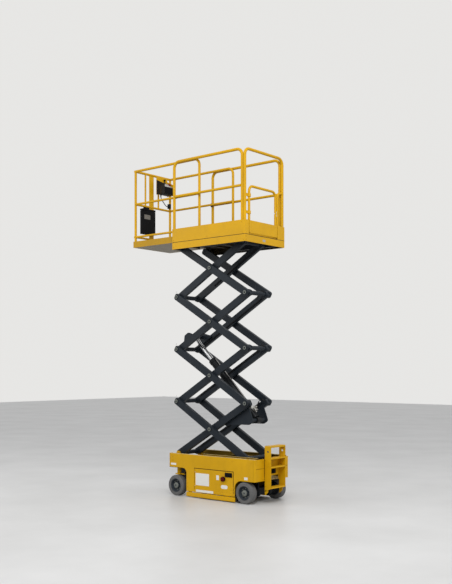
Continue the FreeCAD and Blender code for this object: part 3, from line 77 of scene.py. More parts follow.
def add(tree, kind, inputs=None, **settings):
    """A node with its settings; an input is a plain value or another node's socket."""
    item = tree.nodes.new(kind)
    for key, setting in settings.items():
        setattr(item, key, setting)
    for key, wanted in (inputs or {}).items():
        if isinstance(wanted, bpy.types.NodeSocket):
            tree.links.new(wanted, item.inputs[key])
        else:
            item.inputs[key].default_value = wanted
    return item


def where(tree, stretch=(1, 1, 1)):
    """The place of a point on its own object, in metres, stretched along its axes."""
    place = add(tree, "ShaderNodeTexCoord").outputs["Object"]
    if tuple(stretch) == (1, 1, 1):
        return place
    return add(tree, "ShaderNodeMapping", {"Vector": place, "Scale": stretch}).outputs["Vector"]


def noise(tree, place, scale, detail=4.0, roughness=0.55):
    return add(tree, "ShaderNodeTexNoise", {"Vector": place, "Scale": scale, "Detail": detail,
                                            "Roughness": roughness}).outputs["Fac"]


def spread(tree, factor, low, high, to_low=0.0, to_high=1.0):
    """A factor's part between low and high, as a share or between two other numbers."""
    return add(tree, "ShaderNodeMapRange", {"Value": factor, "From Min": low, "From Max": high,
                                            "To Min": to_low, "To Max": to_high}).outputs["Result"]


def sums(tree, operation, first, second):
    return add(tree, "ShaderNodeMath", {0: first, 1: second}, operation=operation,
               use_clamp=True).outputs["Value"]


def mixed(tree, factor, first, second, blend="MIX"):
    def colour(tone):
        return tone if isinstance(tone, bpy.types.NodeSocket) else (*tone, 1.0)
    return add(tree, "ShaderNodeMix", {0: factor, 6: colour(first), 7: colour(second)},
               data_type="RGBA", blend_type=blend).outputs[2]


def bumped(tree, height, strength, distance, normal=None):
    inputs = {"Height": height, "Strength": strength, "Distance": distance}
    if normal:
        inputs["Normal"] = normal
    return add(tree, "ShaderNodeBump", inputs).outputs["Normal"]


def softened(tree, radius):
    """The surface's normal with its sharp edges softened."""
    return add(tree, "ShaderNodeBevel", {"Radius": radius}, samples=4).outputs["Normal"]


def edge_share(tree, soft_normal):
    """How near a point is to a sharp edge, from 0 to 1."""
    plain = add(tree, "ShaderNodeNewGeometry").outputs["Normal"]
    dot = add(tree, "ShaderNodeVectorMath", {0: plain, 1: soft_normal}, operation="DOT_PRODUCT")
    return spread(tree, dot.outputs["Value"], 0.995, 0.86)


def upward_share(tree, low=0.55, high=0.98):
    """How far a surface faces up, from 0 to 1."""
    normal = add(tree, "ShaderNodeNewGeometry").outputs["Normal"]
    height = add(tree, "ShaderNodeSeparateXYZ", {0: normal}).outputs["Z"]
    return spread(tree, height, low, high)


MATERIALS = {}


def material(name, colour, roughness=0.5, metallic=0.0):
    """A new material under its finish's name, its tree and its surface shader."""
    made = bpy.data.materials.new(name)
    made.use_nodes = True
    made.diffuse_color = (*colour, 1.0)
    shader = made.node_tree.nodes["Principled BSDF"]
    shader.inputs["Roughness"].default_value = roughness
    shader.inputs["Metallic"].default_value = metallic
    MATERIALS[name] = made
    return made, made.node_tree, shader


def feed(tree, shader, colour=None, roughness=None, normal=None, metallic=None):
    for key, socket in (("Base Color", colour), ("Roughness", roughness), ("Normal", normal),
                        ("Metallic", metallic)):
        if socket is not None:
            tree.links.new(socket, shader.inputs[key])


def outside_of(tree, low, high):
    """1 where a point lies outside the box between two corners, and 0 inside it."""
    parts = add(tree, "ShaderNodeSeparateXYZ", {0: where(tree)}).outputs
    share = None
    for axis, below, above in zip("XYZ", low, high):
        for limit, operation in ((below, "LESS_THAN"), (above, "GREATER_THAN")):
            past = sums(tree, operation, parts[axis], limit)
            share = sums(tree, "MAXIMUM", share, past) if share else past
    return share


def paint(name, colour, chip, dust, roughness=0.40, wear=0.6, soiling=0.35, edge=0.0018, inner=None,
          painted_top_light=None, gleam=0.14):
    """Sprayed enamel: faint orange peel, soiling in upright streaks and blotches, chips at its edges.

    inner holds the colour inside a box and the box's two corners; the colour for faces that look up is
    a painted light on ledges; gleam is the strength of its reflections.
    """
    _, tree, shader = material(name, colour, roughness)
    place = where(tree)
    broad = noise(tree, place, 2.2, 5.0)
    fine = noise(tree, place, 38.0, 6.0, 0.7)
    tone = mixed(tree, spread(tree, broad, 0.3, 0.7), [0.90 * part for part in colour],
                 [min(1.0, 1.07 * part) for part in colour])
    if inner:
        hidden, low, high = inner
        shaded = mixed(tree, spread(tree, broad, 0.3, 0.7), [0.75 * part for part in hidden],
                       [1.2 * part for part in hidden])
        tone = mixed(tree, outside_of(tree, low, high), shaded, tone)
    # Faces that look up take a pale painted light in place of the dust that lies on them.
    if painted_top_light:
        tone = mixed(tree, upward_share(tree), tone, painted_top_light)
    grime = sums(tree, "MULTIPLY", spread(tree, noise(tree, where(tree, (1, 1, 0.35)), 9.0, 8.0, 0.65),
                                          0.52, 0.78), soiling)
    tone = mixed(tree, grime, tone, dust)
    if not painted_top_light:
        lying = sums(tree, "MULTIPLY", upward_share(tree), sums(tree, "MULTIPLY", fine, 0.45))
        tone = mixed(tree, lying, tone, [0.5 * (a + b) for a, b in zip(colour, dust)])
    soft = softened(tree, edge)
    chips = sums(tree, "MULTIPLY", edge_share(tree, soft),
                 spread(tree, noise(tree, place, 55.0, 8.0, 0.75), 0.53, 0.62, 0.0, wear))
    tone = mixed(tree, chips, tone, chip)
    gloss = spread(tree, broad, 0.2, 0.8, roughness - 0.05, roughness + 0.14)
    peel = bumped(tree, noise(tree, place, 420.0, 2.0), 0.12, 0.0006, soft)
    feed(tree, shader, tone, gloss, peel)
    shader.inputs["Specular IOR Level"].default_value = gleam
    return MATERIALS[name]


def metal(name, colour, roughness, grain=(1, 1, 1), oxide=(0.22, 0.21, 0.20), scratch=260.0):
    """Bare or plated steel with fine scratches and dull patches."""
    _, tree, shader = material(name, colour, roughness, 1.0)
    lines = noise(tree, where(tree, grain), scratch, 5.0, 0.7)
    patches = noise(tree, where(tree), 14.0, 6.0, 0.6)
    tone = mixed(tree, spread(tree, patches, 0.5, 0.75, 0.0, 0.6), colour, oxide)
    gloss = spread(tree, lines, 0.3, 0.7, roughness - 0.05, roughness + 0.12)
    feed(tree, shader, tone, gloss, bumped(tree, lines, 0.15, 0.0003, softened(tree, 0.0008)))
    return MATERIALS[name]


def plastic(name, colour, scuff, roughness=0.5, grain=900.0, depth=0.0003):
    """Moulded plastic with a fine leathery grain and scuffed edges."""
    _, tree, shader = material(name, colour, roughness)
    place = where(tree)
    soft = softened(tree, 0.0012)
    worn = sums(tree, "MULTIPLY", edge_share(tree, soft), spread(tree, noise(tree, place, 60.0, 6.0),
                                                                 0.4, 0.65, 0.0, 0.7))
    tone = mixed(tree, spread(tree, noise(tree, place, 6.0), 0.3, 0.7), [0.82 * part for part in colour],
                 [min(1.0, 1.15 * part) for part in colour])
    tone = mixed(tree, worn, tone, scuff)
    cells = add(tree, "ShaderNodeTexVoronoi", {"Vector": place, "Scale": grain}).outputs["Distance"]
    gloss = spread(tree, noise(tree, place, 20.0), 0.3, 0.7, roughness - 0.06, roughness + 0.1)
    feed(tree, shader, tone, gloss, bumped(tree, cells, 0.3, depth, soft))
    shader.inputs["Specular IOR Level"].default_value = 0.06
    return MATERIALS[name]


def rubber(name, colour, dust):
    """Solid tyre rubber: matt, mottled and dusty in patches, with fine pores."""
    _, tree, shader = material(name, colour, 0.78)
    place = where(tree)
    blotch = noise(tree, place, 11.0, 7.0, 0.65)
    tone = mixed(tree, spread(tree, blotch, 0.38, 0.68), [0.80 * part for part in colour], colour)
    tone = mixed(tree, spread(tree, noise(tree, place, 46.0, 6.0, 0.7), 0.5, 0.75, 0.0, 0.55), tone, dust)
    pores = noise(tree, place, 520.0, 3.0)
    feed(tree, shader, tone, spread(tree, blotch, 0.3, 0.7, 0.68, 0.88),
         bumped(tree, pores, 0.35, 0.0006, softened(tree, 0.002)))
    shader.inputs["Specular IOR Level"].default_value = 0.25
    return MATERIALS[name]


def vinyl(name, colour):
    """A printed label left blank: smooth film with faint darker scuffs."""
    _, tree, shader = material(name, colour, 0.38)
    place = where(tree)
    scuffs = spread(tree, noise(tree, place, 34.0, 8.0, 0.7), 0.55, 0.8, 0.0, 0.35)
    tone = mixed(tree, scuffs, colour, [0.62 * part for part in colour])
    feed(tree, shader, tone, spread(tree, noise(tree, place, 12.0), 0.3, 0.7, 0.3, 0.5),
         bumped(tree, noise(tree, place, 160.0, 2.0), 0.06, 0.0004))
    return MATERIALS[name]


def make_materials(colours):
    """Every finish on the machine."""
    yellow, arms, deck = tuple(colours.yellow), tuple(colours.arms), tuple(colours.deck)
    chip, dust, shade = (0.16, 0.10, 0.03), (0.27, 0.15, 0.012), (0.030, 0.021, 0.010)
    paint("yellow_enamel", yellow, chip, dust, soiling=0.16, wear=0.45)
    # Inside the chassis: a dark brown painted shade on the walls, dust darkened to sit in that painted shade, and a
    # pale painted light on faces that look up.
    painted_shade_inside, inside_dust_and_shade, painted_light_on_ledges = (0.150, 0.092, 0.009), (0.05, 0.035, 0.015), (0.64, 0.50, 0.24)
    paint("inner_enamel", painted_shade_inside, chip, inside_dust_and_shade, roughness=0.6, soiling=0.35, painted_top_light=painted_light_on_ledges, gleam=0.05)
    # On the chassis floor the box round the kingpin tubes holds the body yellow at 0.8, a darker copy as painted
    # shade.
    paint("floor_enamel_painted_shade", painted_shade_inside, chip, inside_dust_and_shade, roughness=0.6, soiling=0.35, painted_top_light=painted_light_on_ledges, gleam=0.05,
          inner=(tuple(0.8 * part for part in yellow), (0.26, -0.38, 0.19), (0.42, 0.38, 0.3985)))
    # The console guard's near side plate is painted near black, a painted shade inside the hood.
    paint("guard_enamel_painted_shade", yellow, chip, dust, soiling=0.16, wear=0.45,
          inner=((0.006, 0.006, 0.006), (0.90, -0.0540, 4.4), (1.1385, -0.0400, 4.8)))
    paint("platform_enamel", yellow, chip, dust, soiling=0.16, wear=0.45,
          inner=(shade, (-0.9650, -0.4372, 3.0), (0.3475, 0.4372, 3.5830)))
    # The extension's yellow is the body yellow at 0.74, a darker copy as painted shade; inside its box it takes the
    # deck colour.
    paint("extension_enamel_painted_shade", tuple(0.74 * part for part in yellow), chip, dust, soiling=0.16, wear=0.45,
          inner=(deck, (-0.200, -0.3860, 3.0), (1.1815, 0.3860, 4.0)))
    paint("deck_enamel", deck, (0.35, 0.34, 0.32), (0.12, 0.10, 0.08), roughness=0.5,
          inner=(shade, (-1.2, -0.5, 3.0), (1.2, 0.5, 3.5825)))
    paint("arm_enamel", arms, (0.07, 0.075, 0.08), (0.040, 0.040, 0.040), wear=0.45, soiling=0.25)
    paint("dark_enamel", (0.008, 0.009, 0.011), (0.06, 0.06, 0.06), (0.03, 0.028, 0.025), roughness=0.5)
    paint("rim_enamel", tuple(colours.rims), (0.09, 0.09, 0.09), (0.06, 0.06, 0.056), roughness=0.45)
    paint("hub_enamel", (0.150, 0.158, 0.140), (0.10, 0.10, 0.10), (0.07, 0.07, 0.06), roughness=0.45)
    paint("barrel_enamel", (0.008, 0.009, 0.010), (0.07, 0.07, 0.07), (0.03, 0.03, 0.03), roughness=0.3)
    metal("polished_chrome", (0.72, 0.73, 0.74), 0.12, (1, 1, 1), (0.4, 0.4, 0.4))
    metal("zinc_steel", (0.50, 0.49, 0.46), 0.36)
    metal("worn_steel", (0.30, 0.29, 0.28), 0.42, (0.2, 1, 1))
    rubber("grey_rubber", tuple(colours.rubber), (0.21, 0.20, 0.19))
    rubber("cable_rubber", (0.008, 0.008, 0.009), (0.03, 0.03, 0.03))
    plastic("black_plastic", (0.005, 0.005, 0.0055), (0.03, 0.03, 0.03))
    plastic("battery_case", (0.014, 0.015, 0.016), (0.06, 0.06, 0.06))
    plastic("stop_red", (0.24, 0.008, 0.006), (0.30, 0.06, 0.05), 0.35, 700.0, 0.0001)
    plastic("dull_red", (0.080, 0.005, 0.007), (0.14, 0.03, 0.03), 0.5, 700.0, 0.0001)
    plastic("switch_green", (0.02, 0.20, 0.05), (0.1, 0.3, 0.12), 0.4, 700.0, 0.0001)
    plastic("switch_white", (0.62, 0.62, 0.60), (0.4, 0.4, 0.38), 0.4, 700.0, 0.0001)
    plastic("seam_shadow", (0.030, 0.019, 0.006), (0.04, 0.03, 0.01), 0.7)
    vinyl("blank_label", (0.70, 0.69, 0.64))
    vinyl("blank_label_grey", (0.30, 0.29, 0.27))
    vinyl("blank_label_dark", (0.13, 0.12, 0.10))


SLOT_FINISHES = {
    "yellow_paint": "yellow_enamel", "deck_paint": "deck_enamel", "arm_paint": "arm_enamel",
    "running_gear": "dark_enamel", "cylinder_paint": "barrel_enamel",
    "polished_rod": "polished_chrome", "tyre": "grey_rubber", "black_plastic": "black_plastic",
    "battery": "battery_case", "cable": "cable_rubber",
}
NODE_FINISHES = {
    "platform_tracks": "arm_enamel", "platform_pivot_lugs": "arm_enamel",
    "base_pivot_lugs": "yellow_enamel", "knuckle_left": "yellow_enamel", "knuckle_right": "yellow_enamel",
    "platform_frame": "platform_enamel", "extension_deck": "extension_enamel_painted_shade",
    "chassis_floor": "floor_enamel_painted_shade", "chassis_side_frames": "inner_enamel",
    "console_guard": "guard_enamel_painted_shade",
    "rim_rear_left": "rim_enamel", "rim_rear_right": "rim_enamel",
    "rim_front_left": "rim_enamel", "rim_front_right": "rim_enamel",
}


# Mesh helpers.

def new_piece(name, shape, finish, body):
    """Turn a bmesh into a piece at the origin with its finish, riding on its body."""
    bmesh.ops.recalc_face_normals(shape, faces=shape.faces)
    mesh = bpy.data.meshes.new(name)
    shape.to_mesh(mesh)
    shape.free()
    piece = bpy.data.objects.new(name, mesh)
    bpy.context.scene.collection.objects.link(piece)
    mesh.materials.append(MATERIALS[finish])
    return settled(piece, body)


def settled(piece, body, angle=32):
    """Smooth a piece between its sharp edges and let it ride on its body."""
    mesh = piece.data
    if mesh.polygons:
        mesh.polygons.foreach_set("use_smooth", [True] * len(mesh.polygons))
        mesh.set_sharp_from_angle(angle=math.radians(angle))
    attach(piece, body)
    return piece


def block(shape, low, high, bevel=0.0, turn=None):
    """A box between two corners, its edges bevelled."""
    low, high = Vector(low), Vector(high)
    made = bmesh.ops.create_cube(shape, size=1.0)["verts"]
    bmesh.ops.scale(shape, vec=high - low, verts=made)
    bmesh.ops.translate(shape, vec=(low + high) / 2, verts=made)
    if turn:
        bmesh.ops.transform(shape, matrix=turn, verts=made)
    if bevel:
        edges = list({edge for vert in made for edge in vert.link_edges})
        bmesh.ops.bevel(shape, geom=edges, offset=bevel, segments=2, affect="EDGES", profile=0.6)


def frame_along(start, direction):
    """The matrix that takes Z to a direction and the origin to a start."""
    turn = Vector((0, 0, 1)).rotation_difference(Vector(direction)).to_matrix().to_4x4()
    return Matrix.Translation(Vector(start)) @ turn


def lathe(shape, start, direction, profile, sides=32):
    """A turned shape about a line: profile holds pairs of distance along it and radius.

    A radius of 0 closes an end; a profile that ends at its first pair makes a ring.
    """
    matrix = frame_along(start, direction)
    closed = profile[0] == profile[-1]
    rows = []
    for along, radius in (profile[:-1] if closed else profile):
        if radius == 0:
            rows.append([shape.verts.new(matrix @ Vector((0, 0, along)))])
        else:
            rows.append([shape.verts.new(matrix @ Vector((radius * math.cos(turn), radius * math.sin(turn),
                                                          along)))
                         for turn in (2 * math.pi * step / sides for step in range(sides))])
    pairs = list(zip(rows, rows[1:])) + ([(rows[-1], rows[0])] if closed else [])
    for first, second in pairs:
        for step in range(sides):
            following = (step + 1) % sides
            corners = [first[step % len(first)], first[following % len(first)],
                       second[following % len(second)], second[step % len(second)]]
            shape.faces.new(list(dict.fromkeys(corners)))
    if not closed:
        for row in (rows[0], rows[-1]):
            if len(row) > 1:
                shape.faces.new(row)


def drum(shape, start, direction, length, radius, bevel=0.0, sides=28):
    """A round bar with its rims eased."""
    profile = [(0, radius - bevel), (bevel, radius), (length - bevel, radius), (length, radius - bevel)]
    lathe(shape, start, direction, profile if bevel else [(0, radius), (length, radius)], sides)


def plate(shape, centre, across, up, size, thick, radius, steps=5):
    """A flat plate with rounded corners, its back on the surface that it lies on."""
    across, up = Vector(across).normalized(), Vector(up).normalized()
    out = across.cross(up)
    half_width, half_height = size[0] / 2 - radius, size[1] / 2 - radius
    rim = []
    for quarter in range(4):
        middle = Vector((half_width if quarter in (0, 3) else -half_width,
                         half_height if quarter in (0, 1) else -half_height))
        for step in range(steps + 1):
            turn = math.pi / 2 * (quarter + step / steps)
            rim.append(middle + radius * Vector((math.cos(turn), math.sin(turn))))
    low, high = ([shape.verts.new(Vector(centre) + across * spot.x + up * spot.y + out * rise)
                  for spot in rim] for rise in (0.0, thick))
    shape.faces.new(high)
    shape.faces.new(list(reversed(low)))
    for step in range(len(rim)):
        following = (step + 1) % len(rim)
        shape.faces.new([low[step], low[following], high[following], high[step]])


def pipe(shape, points, radius, sides=12):
    """A round tube along a line of points, its ends closed."""
    points = [Vector(point) for point in points]
    rows, side = [], None
    for index, point in enumerate(points):
        ahead = points[min(index + 1, len(points) - 1)] - points[max(index - 1, 0)]
        ahead.normalize()
        if side is None:
            side = ahead.orthogonal().normalized()
        side = (side - ahead * side.dot(ahead)).normalized()
        other = ahead.cross(side)
        rows.append([shape.verts.new(point + radius * (math.cos(turn) * side + math.sin(turn) * other))
                     for turn in (2 * math.pi * step / sides for step in range(sides))])
    for first, second in zip(rows, rows[1:]):
        for step in range(sides):
            following = (step + 1) % sides
            shape.faces.new([first[step], first[following], second[following], second[step]])
    shape.faces.new(list(reversed(rows[0])))
    shape.faces.new(rows[-1])


def bent(corners, radius, steps=6):
    """The points of a line of corners, each rounded by an arc."""
    corners = [Vector(corner) for corner in corners]
    points = [corners[0]]
    for before, corner, after in zip(corners, corners[1:], corners[2:]):
        back, ahead = (before - corner).normalized(), (after - corner).normalized()
        half = (math.pi - back.angle(ahead)) / 2
        start, end = corner + back * radius * math.tan(half), corner + ahead * radius * math.tan(half)
        centre = corner + (back + ahead).normalized() * radius / math.cos(half)
        for step in range(steps + 1):
            spot = start.lerp(end, step / steps) - centre
            points.append(centre + spot.normalized() * radius)
    return points + [corners[-1]]


def mirrored_side(point, side):
    return Vector((point[0], point[1] * side, point[2]))


# Geometry trees: what repeats is placed by these and made into a plain mesh.

def new_tree(name, numbers):
    """A geometry tree with a geometry, some named numbers and a material as its inputs."""
    tree = bpy.data.node_groups.new(name, "GeometryNodeTree")
    tree.interface.new_socket("Geometry", in_out="INPUT", socket_type="NodeSocketGeometry")
    for label, default in numbers:
        kind = "NodeSocketInt" if isinstance(default, int) else "NodeSocketFloat"
        tree.interface.new_socket(label, in_out="INPUT", socket_type=kind).default_value = default
    tree.interface.new_socket("Material", in_out="INPUT", socket_type="NodeSocketMaterial")
    tree.interface.new_socket("Geometry", in_out="OUTPUT", socket_type="NodeSocketGeometry")
    return tree, tree.nodes.new("NodeGroupInput").outputs


def close_tree(tree, inputs, points, shape, rotation=None, scale=None):
    """Put a shape on every point, make it real and give it its material."""
    wanted = {"Points": points, "Instance": shape}
    if rotation is not None:
        wanted["Rotation"] = rotation
    if scale is not None:
        wanted["Scale"] = scale
    placed = add(tree, "GeometryNodeInstanceOnPoints", wanted).outputs[0]
    real = add(tree, "GeometryNodeRealizeInstances", {0: placed}).outputs[0]
    dressed = add(tree, "GeometryNodeSetMaterial", {"Geometry": real, "Material": inputs["Material"]})
    add(tree, "NodeGroupOutput", {0: dressed.outputs[0]})
    return tree


def facing(tree):
    """The turn that points a shape's Z along its point's stored direction."""
    stored = add(tree, "GeometryNodeInputNamedAttribute", {"Name": "facing"}, data_type="FLOAT_VECTOR")
    return add(tree, "FunctionNodeAlignRotationToVector", {"Vector": stored.outputs[0]},
               axis="Z").outputs[0]


def lifted(tree, shape, height):
    place = add(tree, "ShaderNodeCombineXYZ", {"Z": height}).outputs[0]
    return add(tree, "GeometryNodeTransform", {"Geometry": shape, "Translation": place}).outputs[0]


def bolt_tree():
    """Hexagon bolt heads on washers, one at each point, along its stored direction."""
    tree, inputs = new_tree("bolt_heads", (("Radius", 0.006), ("Height", 0.005), ("Washer", 0.0015)))

    def maths(operation, first, second):
        return add(tree, "ShaderNodeMath", {0: first, 1: second}, operation=operation).outputs[0]
    head = add(tree, "GeometryNodeMeshCylinder", {"Vertices": 6, "Radius": inputs["Radius"],
                                                  "Depth": inputs["Height"]}).outputs[0]
    washer = add(tree, "GeometryNodeMeshCylinder", {
        "Vertices": 18, "Radius": maths("MULTIPLY", inputs["Radius"], 1.7),
        "Depth": inputs["Washer"]}).outputs[0]
    head = lifted(tree, head, maths("ADD", inputs["Washer"], maths("MULTIPLY", inputs["Height"], 0.5)))
    washer = lifted(tree, washer, maths("MULTIPLY", inputs["Washer"], 0.5))
    both = add(tree, "GeometryNodeJoinGeometry")
    tree.links.new(head, both.inputs[0])
    tree.links.new(washer, both.inputs[0])
    return close_tree(tree, inputs, inputs["Geometry"], both.outputs[0], facing(tree))


def stud_tree():
    """Raised studs on a grid of points, every other one turned the other way."""
    tree, inputs = new_tree("raised_studs", (("Long", 0.014), ("Wide", 0.004), ("Rise", 0.0016),
                                             ("Turn", 0.785), ("Sides", 6)))
    stud = add(tree, "GeometryNodeMeshCone", {"Vertices": inputs["Sides"], "Radius Top": 0.62,
                                              "Radius Bottom": 1.0, "Depth": 1.0}).outputs[0]
    size = add(tree, "ShaderNodeCombineXYZ", {"X": inputs["Long"], "Y": inputs["Wide"],
                                              "Z": inputs["Rise"]}).outputs[0]
    stud = add(tree, "GeometryNodeTransform", {"Geometry": stud, "Scale": size}).outputs[0]
    parity = add(tree, "GeometryNodeInputNamedAttribute", {"Name": "parity"}, data_type="FLOAT")
    turn = add(tree, "ShaderNodeMath", {0: parity.outputs[0], 1: inputs["Turn"]},
               operation="MULTIPLY").outputs[0]
    rotation = add(tree, "ShaderNodeCombineXYZ", {"Z": turn}).outputs[0]
    return close_tree(tree, inputs, inputs["Geometry"], stud, rotation)


def weld_tree():
    """A weld's ripples: flattened beads set closely along every line of the mesh."""
    tree, inputs = new_tree("weld_ripples", (("Radius", 0.004), ("Pitch", 0.0045)))
    line = add(tree, "GeometryNodeMeshToCurve", {0: inputs["Geometry"]}).outputs[0]
    beads = add(tree, "GeometryNodeCurveToPoints", {"Curve": line, "Length": inputs["Pitch"]},
                mode="LENGTH")
    bead = add(tree, "GeometryNodeMeshIcoSphere", {"Radius": inputs["Radius"], "Subdivisions": 1}).outputs[0]
    bead = add(tree, "GeometryNodeTransform", {"Geometry": bead, "Scale": (0.8, 0.8, 0.62)}).outputs[0]
    return close_tree(tree, inputs, beads.outputs["Points"], bead, beads.outputs["Rotation"])


def run_tree(tree, name, mesh, numbers, finish, body):
    """Run a tree on a mesh of points or lines and keep its result as a plain piece."""
    piece = bpy.data.objects.new(name, mesh)
    bpy.context.scene.collection.objects.link(piece)
    modifier = piece.modifiers.new(tree.name, "NODES")
    modifier.node_group = tree
    wanted = {**numbers, "Material": MATERIALS[finish]}
    for item in tree.interface.items_tree:
        if item.item_type == "SOCKET" and item.in_out == "INPUT" and item.name in wanted:
            modifier[item.identifier] = wanted[item.name]
    depsgraph = bpy.context.evaluated_depsgraph_get()
    made = bpy.data.meshes.new_from_object(piece.evaluated_get(depsgraph), depsgraph=depsgraph)
    piece.modifiers.clear()
    piece.data = made
    made.name = name
    if not made.materials:
        made.materials.append(MATERIALS[finish])
    return settled(piece, body)


TREES = {}


def tree_for(maker):
    if maker.__name__ not in TREES:
        TREES[maker.__name__] = maker()
    return TREES[maker.__name__]


def point_mesh(name, points, values=None, attribute="facing", kind="FLOAT_VECTOR"):
    mesh = bpy.data.meshes.new(name)
    mesh.from_pydata([tuple(point) for point in points], [], [])
    if values is not None:
        layer = mesh.attributes.new(attribute, kind, "POINT")
        flat = [part for value in values for part in (value if kind == "FLOAT_VECTOR" else [value])]
        layer.data.foreach_set("vector" if kind == "FLOAT_VECTOR" else "value", flat)
    return mesh


def bolts(name, places, body, radius=0.006, height=0.005, finish="zinc_steel"):
    """Bolt heads at pairs of a place and the direction that each faces."""
    mesh = point_mesh(name, [place for place, _ in places], [direction for _, direction in places])
    return run_tree(tree_for(bolt_tree), name, mesh, {"Radius": radius, "Height": height,
                                                      "Washer": height * 0.3}, finish, body)


def studs(name, low, high, height, pitch, body, slot, finish, **numbers):
    """Raised studs over a flat rectangle between two corners."""
    counts = [max(2, int((high[axis] - low[axis]) / pitch)) for axis in (0, 1)]
    points, parity = [], []
    for row in range(counts[0]):
        for column in range(counts[1]):
            points.append((low[0] + (high[0] - low[0]) * (row + 0.5) / counts[0],
                           low[1] + (high[1] - low[1]) * (column + 0.5) / counts[1], height))
            parity.append(1.0 if (row + column) % 2 else -1.0)
    mesh = point_mesh(name, points, parity, "parity", "FLOAT")
    return run_tree(tree_for(stud_tree), name, mesh, numbers, finish, body)


def welds(name, rings, body, finish, radius=0.004, sides=40):
    """Weld ripples round circles: each ring is a centre, an axis and a radius."""
    mesh = bpy.data.meshes.new(name)
    points, edges = [], []
    for centre, axis, ring_radius in rings:
        matrix, first = frame_along(centre, axis), len(points)
        for step in range(sides):
            turn = 2 * math.pi * step / sides
            points.append(tuple(matrix @ Vector((ring_radius * math.cos(turn),
                                                 ring_radius * math.sin(turn), 0))))
            edges.append((first + step, first + (step + 1) % sides))
    mesh.from_pydata(points, edges, [])
    return run_tree(tree_for(weld_tree), name, mesh, {"Radius": radius, "Pitch": radius * 1.15},
                    finish, body)


# Where each scissor arm lies at rest: X runs from its rear pin to its front pin.

def arm_matrix(stage, outer):
    if outer:
        start = Vector((REAR_PIN_X, 0, BASE_PIN.z + (stage - 1) * STAGE_RISE))
        return Matrix.Translation(start) @ Matrix.Rotation(-REST_ANGLE, 4, "Y")
    upper = TOP_HALF_ARM if stage == 4 else ARM_LENGTH / 2
    start = Vector((BASE_PIN.x - (ARM_LENGTH / 2 + upper) * math.cos(REST_ANGLE), 0,
                    BASE_PIN.z + (stage - 0.5) * STAGE_RISE + upper * math.sin(REST_ANGLE)))
    return Matrix.Translation(start) @ Matrix.Rotation(REST_ANGLE, 4, "Y")


def arm_total(stage):
    return ARM_LENGTH / 2 + (TOP_HALF_ARM if stage == 4 else ARM_LENGTH / 2)


# Sizes and colours that a user would change.

class LiftColours(bpy.types.PropertyGroup):
    """Paint and rubber colours, linear."""
    yellow: bpy.props.FloatVectorProperty(
        name="Body yellow", description="Enamel on the chassis and the rails", subtype="COLOR",
        default=(0.585, 0.318, 0.003), min=0.0, max=1.0)
    arms: bpy.props.FloatVectorProperty(
        name="Arms", description="Enamel on the scissor arms", subtype="COLOR",
        default=(0.012, 0.0165, 0.022), min=0.0, max=1.0)
    rims: bpy.props.FloatVectorProperty(
        name="Rims", description="Enamel on the wheel rims", subtype="COLOR",
        default=(0.036, 0.044, 0.053), min=0.0, max=1.0)
    deck: bpy.props.FloatVectorProperty(
        name="Deck", description="Enamel on the deck plates", subtype="COLOR",
        default=(0.260, 0.225, 0.165), min=0.0, max=1.0)
    rubber: bpy.props.FloatVectorProperty(
        name="Tyres", description="Non-marking tyre rubber", subtype="COLOR",
        default=(0.128, 0.127, 0.125), min=0.0, max=1.0)


class LiftSizes(bpy.types.PropertyGroup):
    """Sizes of the fittings, in metres."""
    stud_pitch: bpy.props.FloatProperty(
        name="Stud pitch", description="Distance between the deck's raised studs", default=0.036,
        min=0.02, max=0.08, unit="LENGTH")
    bolt_radius: bpy.props.FloatProperty(
        name="Bolt radius", description="Radius of a common bolt head", default=0.006,
        min=0.003, max=0.012, unit="LENGTH")
    hose_radius: bpy.props.FloatProperty(
        name="Hose radius", description="Radius of the hydraulic hoses on the arms", default=0.0042,
        min=0.003, max=0.008, unit="LENGTH")
    wheel_bolts: bpy.props.IntProperty(
        name="Wheel bolts", description="Bolts round each wheel's hub", default=8, min=4, max=12)


def colours():
    return bpy.context.scene.lift_colours


def sizes():
    return bpy.context.scene.lift_sizes


class LIFT_OT_finishes(bpy.types.Operator):
    """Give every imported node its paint, rubber, steel or plastic"""
    bl_idname = "lift.finishes"
    bl_label = "Finishes"

    def execute(self, context):
        make_materials(colours())
        slots = {item["node"]: item["material_slot"] for item in frame["record"]["subparts"]}
        for name, piece in frame["nodes"].items():
            finish = NODE_FINISHES.get(name) or SLOT_FINISHES[slots[name]]
            piece.data.materials.clear()
            piece.data.materials.append(MATERIALS[finish])
        return {"FINISHED"}


CABLE_ROUTE = ((1.079, -0.079, 4.426), (1.079, -0.079, 4.392), (1.083, -0.105, 4.360),
               (1.091, -0.151, 4.330), (1.129, -0.224, 4.309), (1.151, -0.276, 4.295),
               (1.151, -0.320, 4.295))
CABLE_LENGTH, CABLE_DIAMETER = 0.312, 0.012


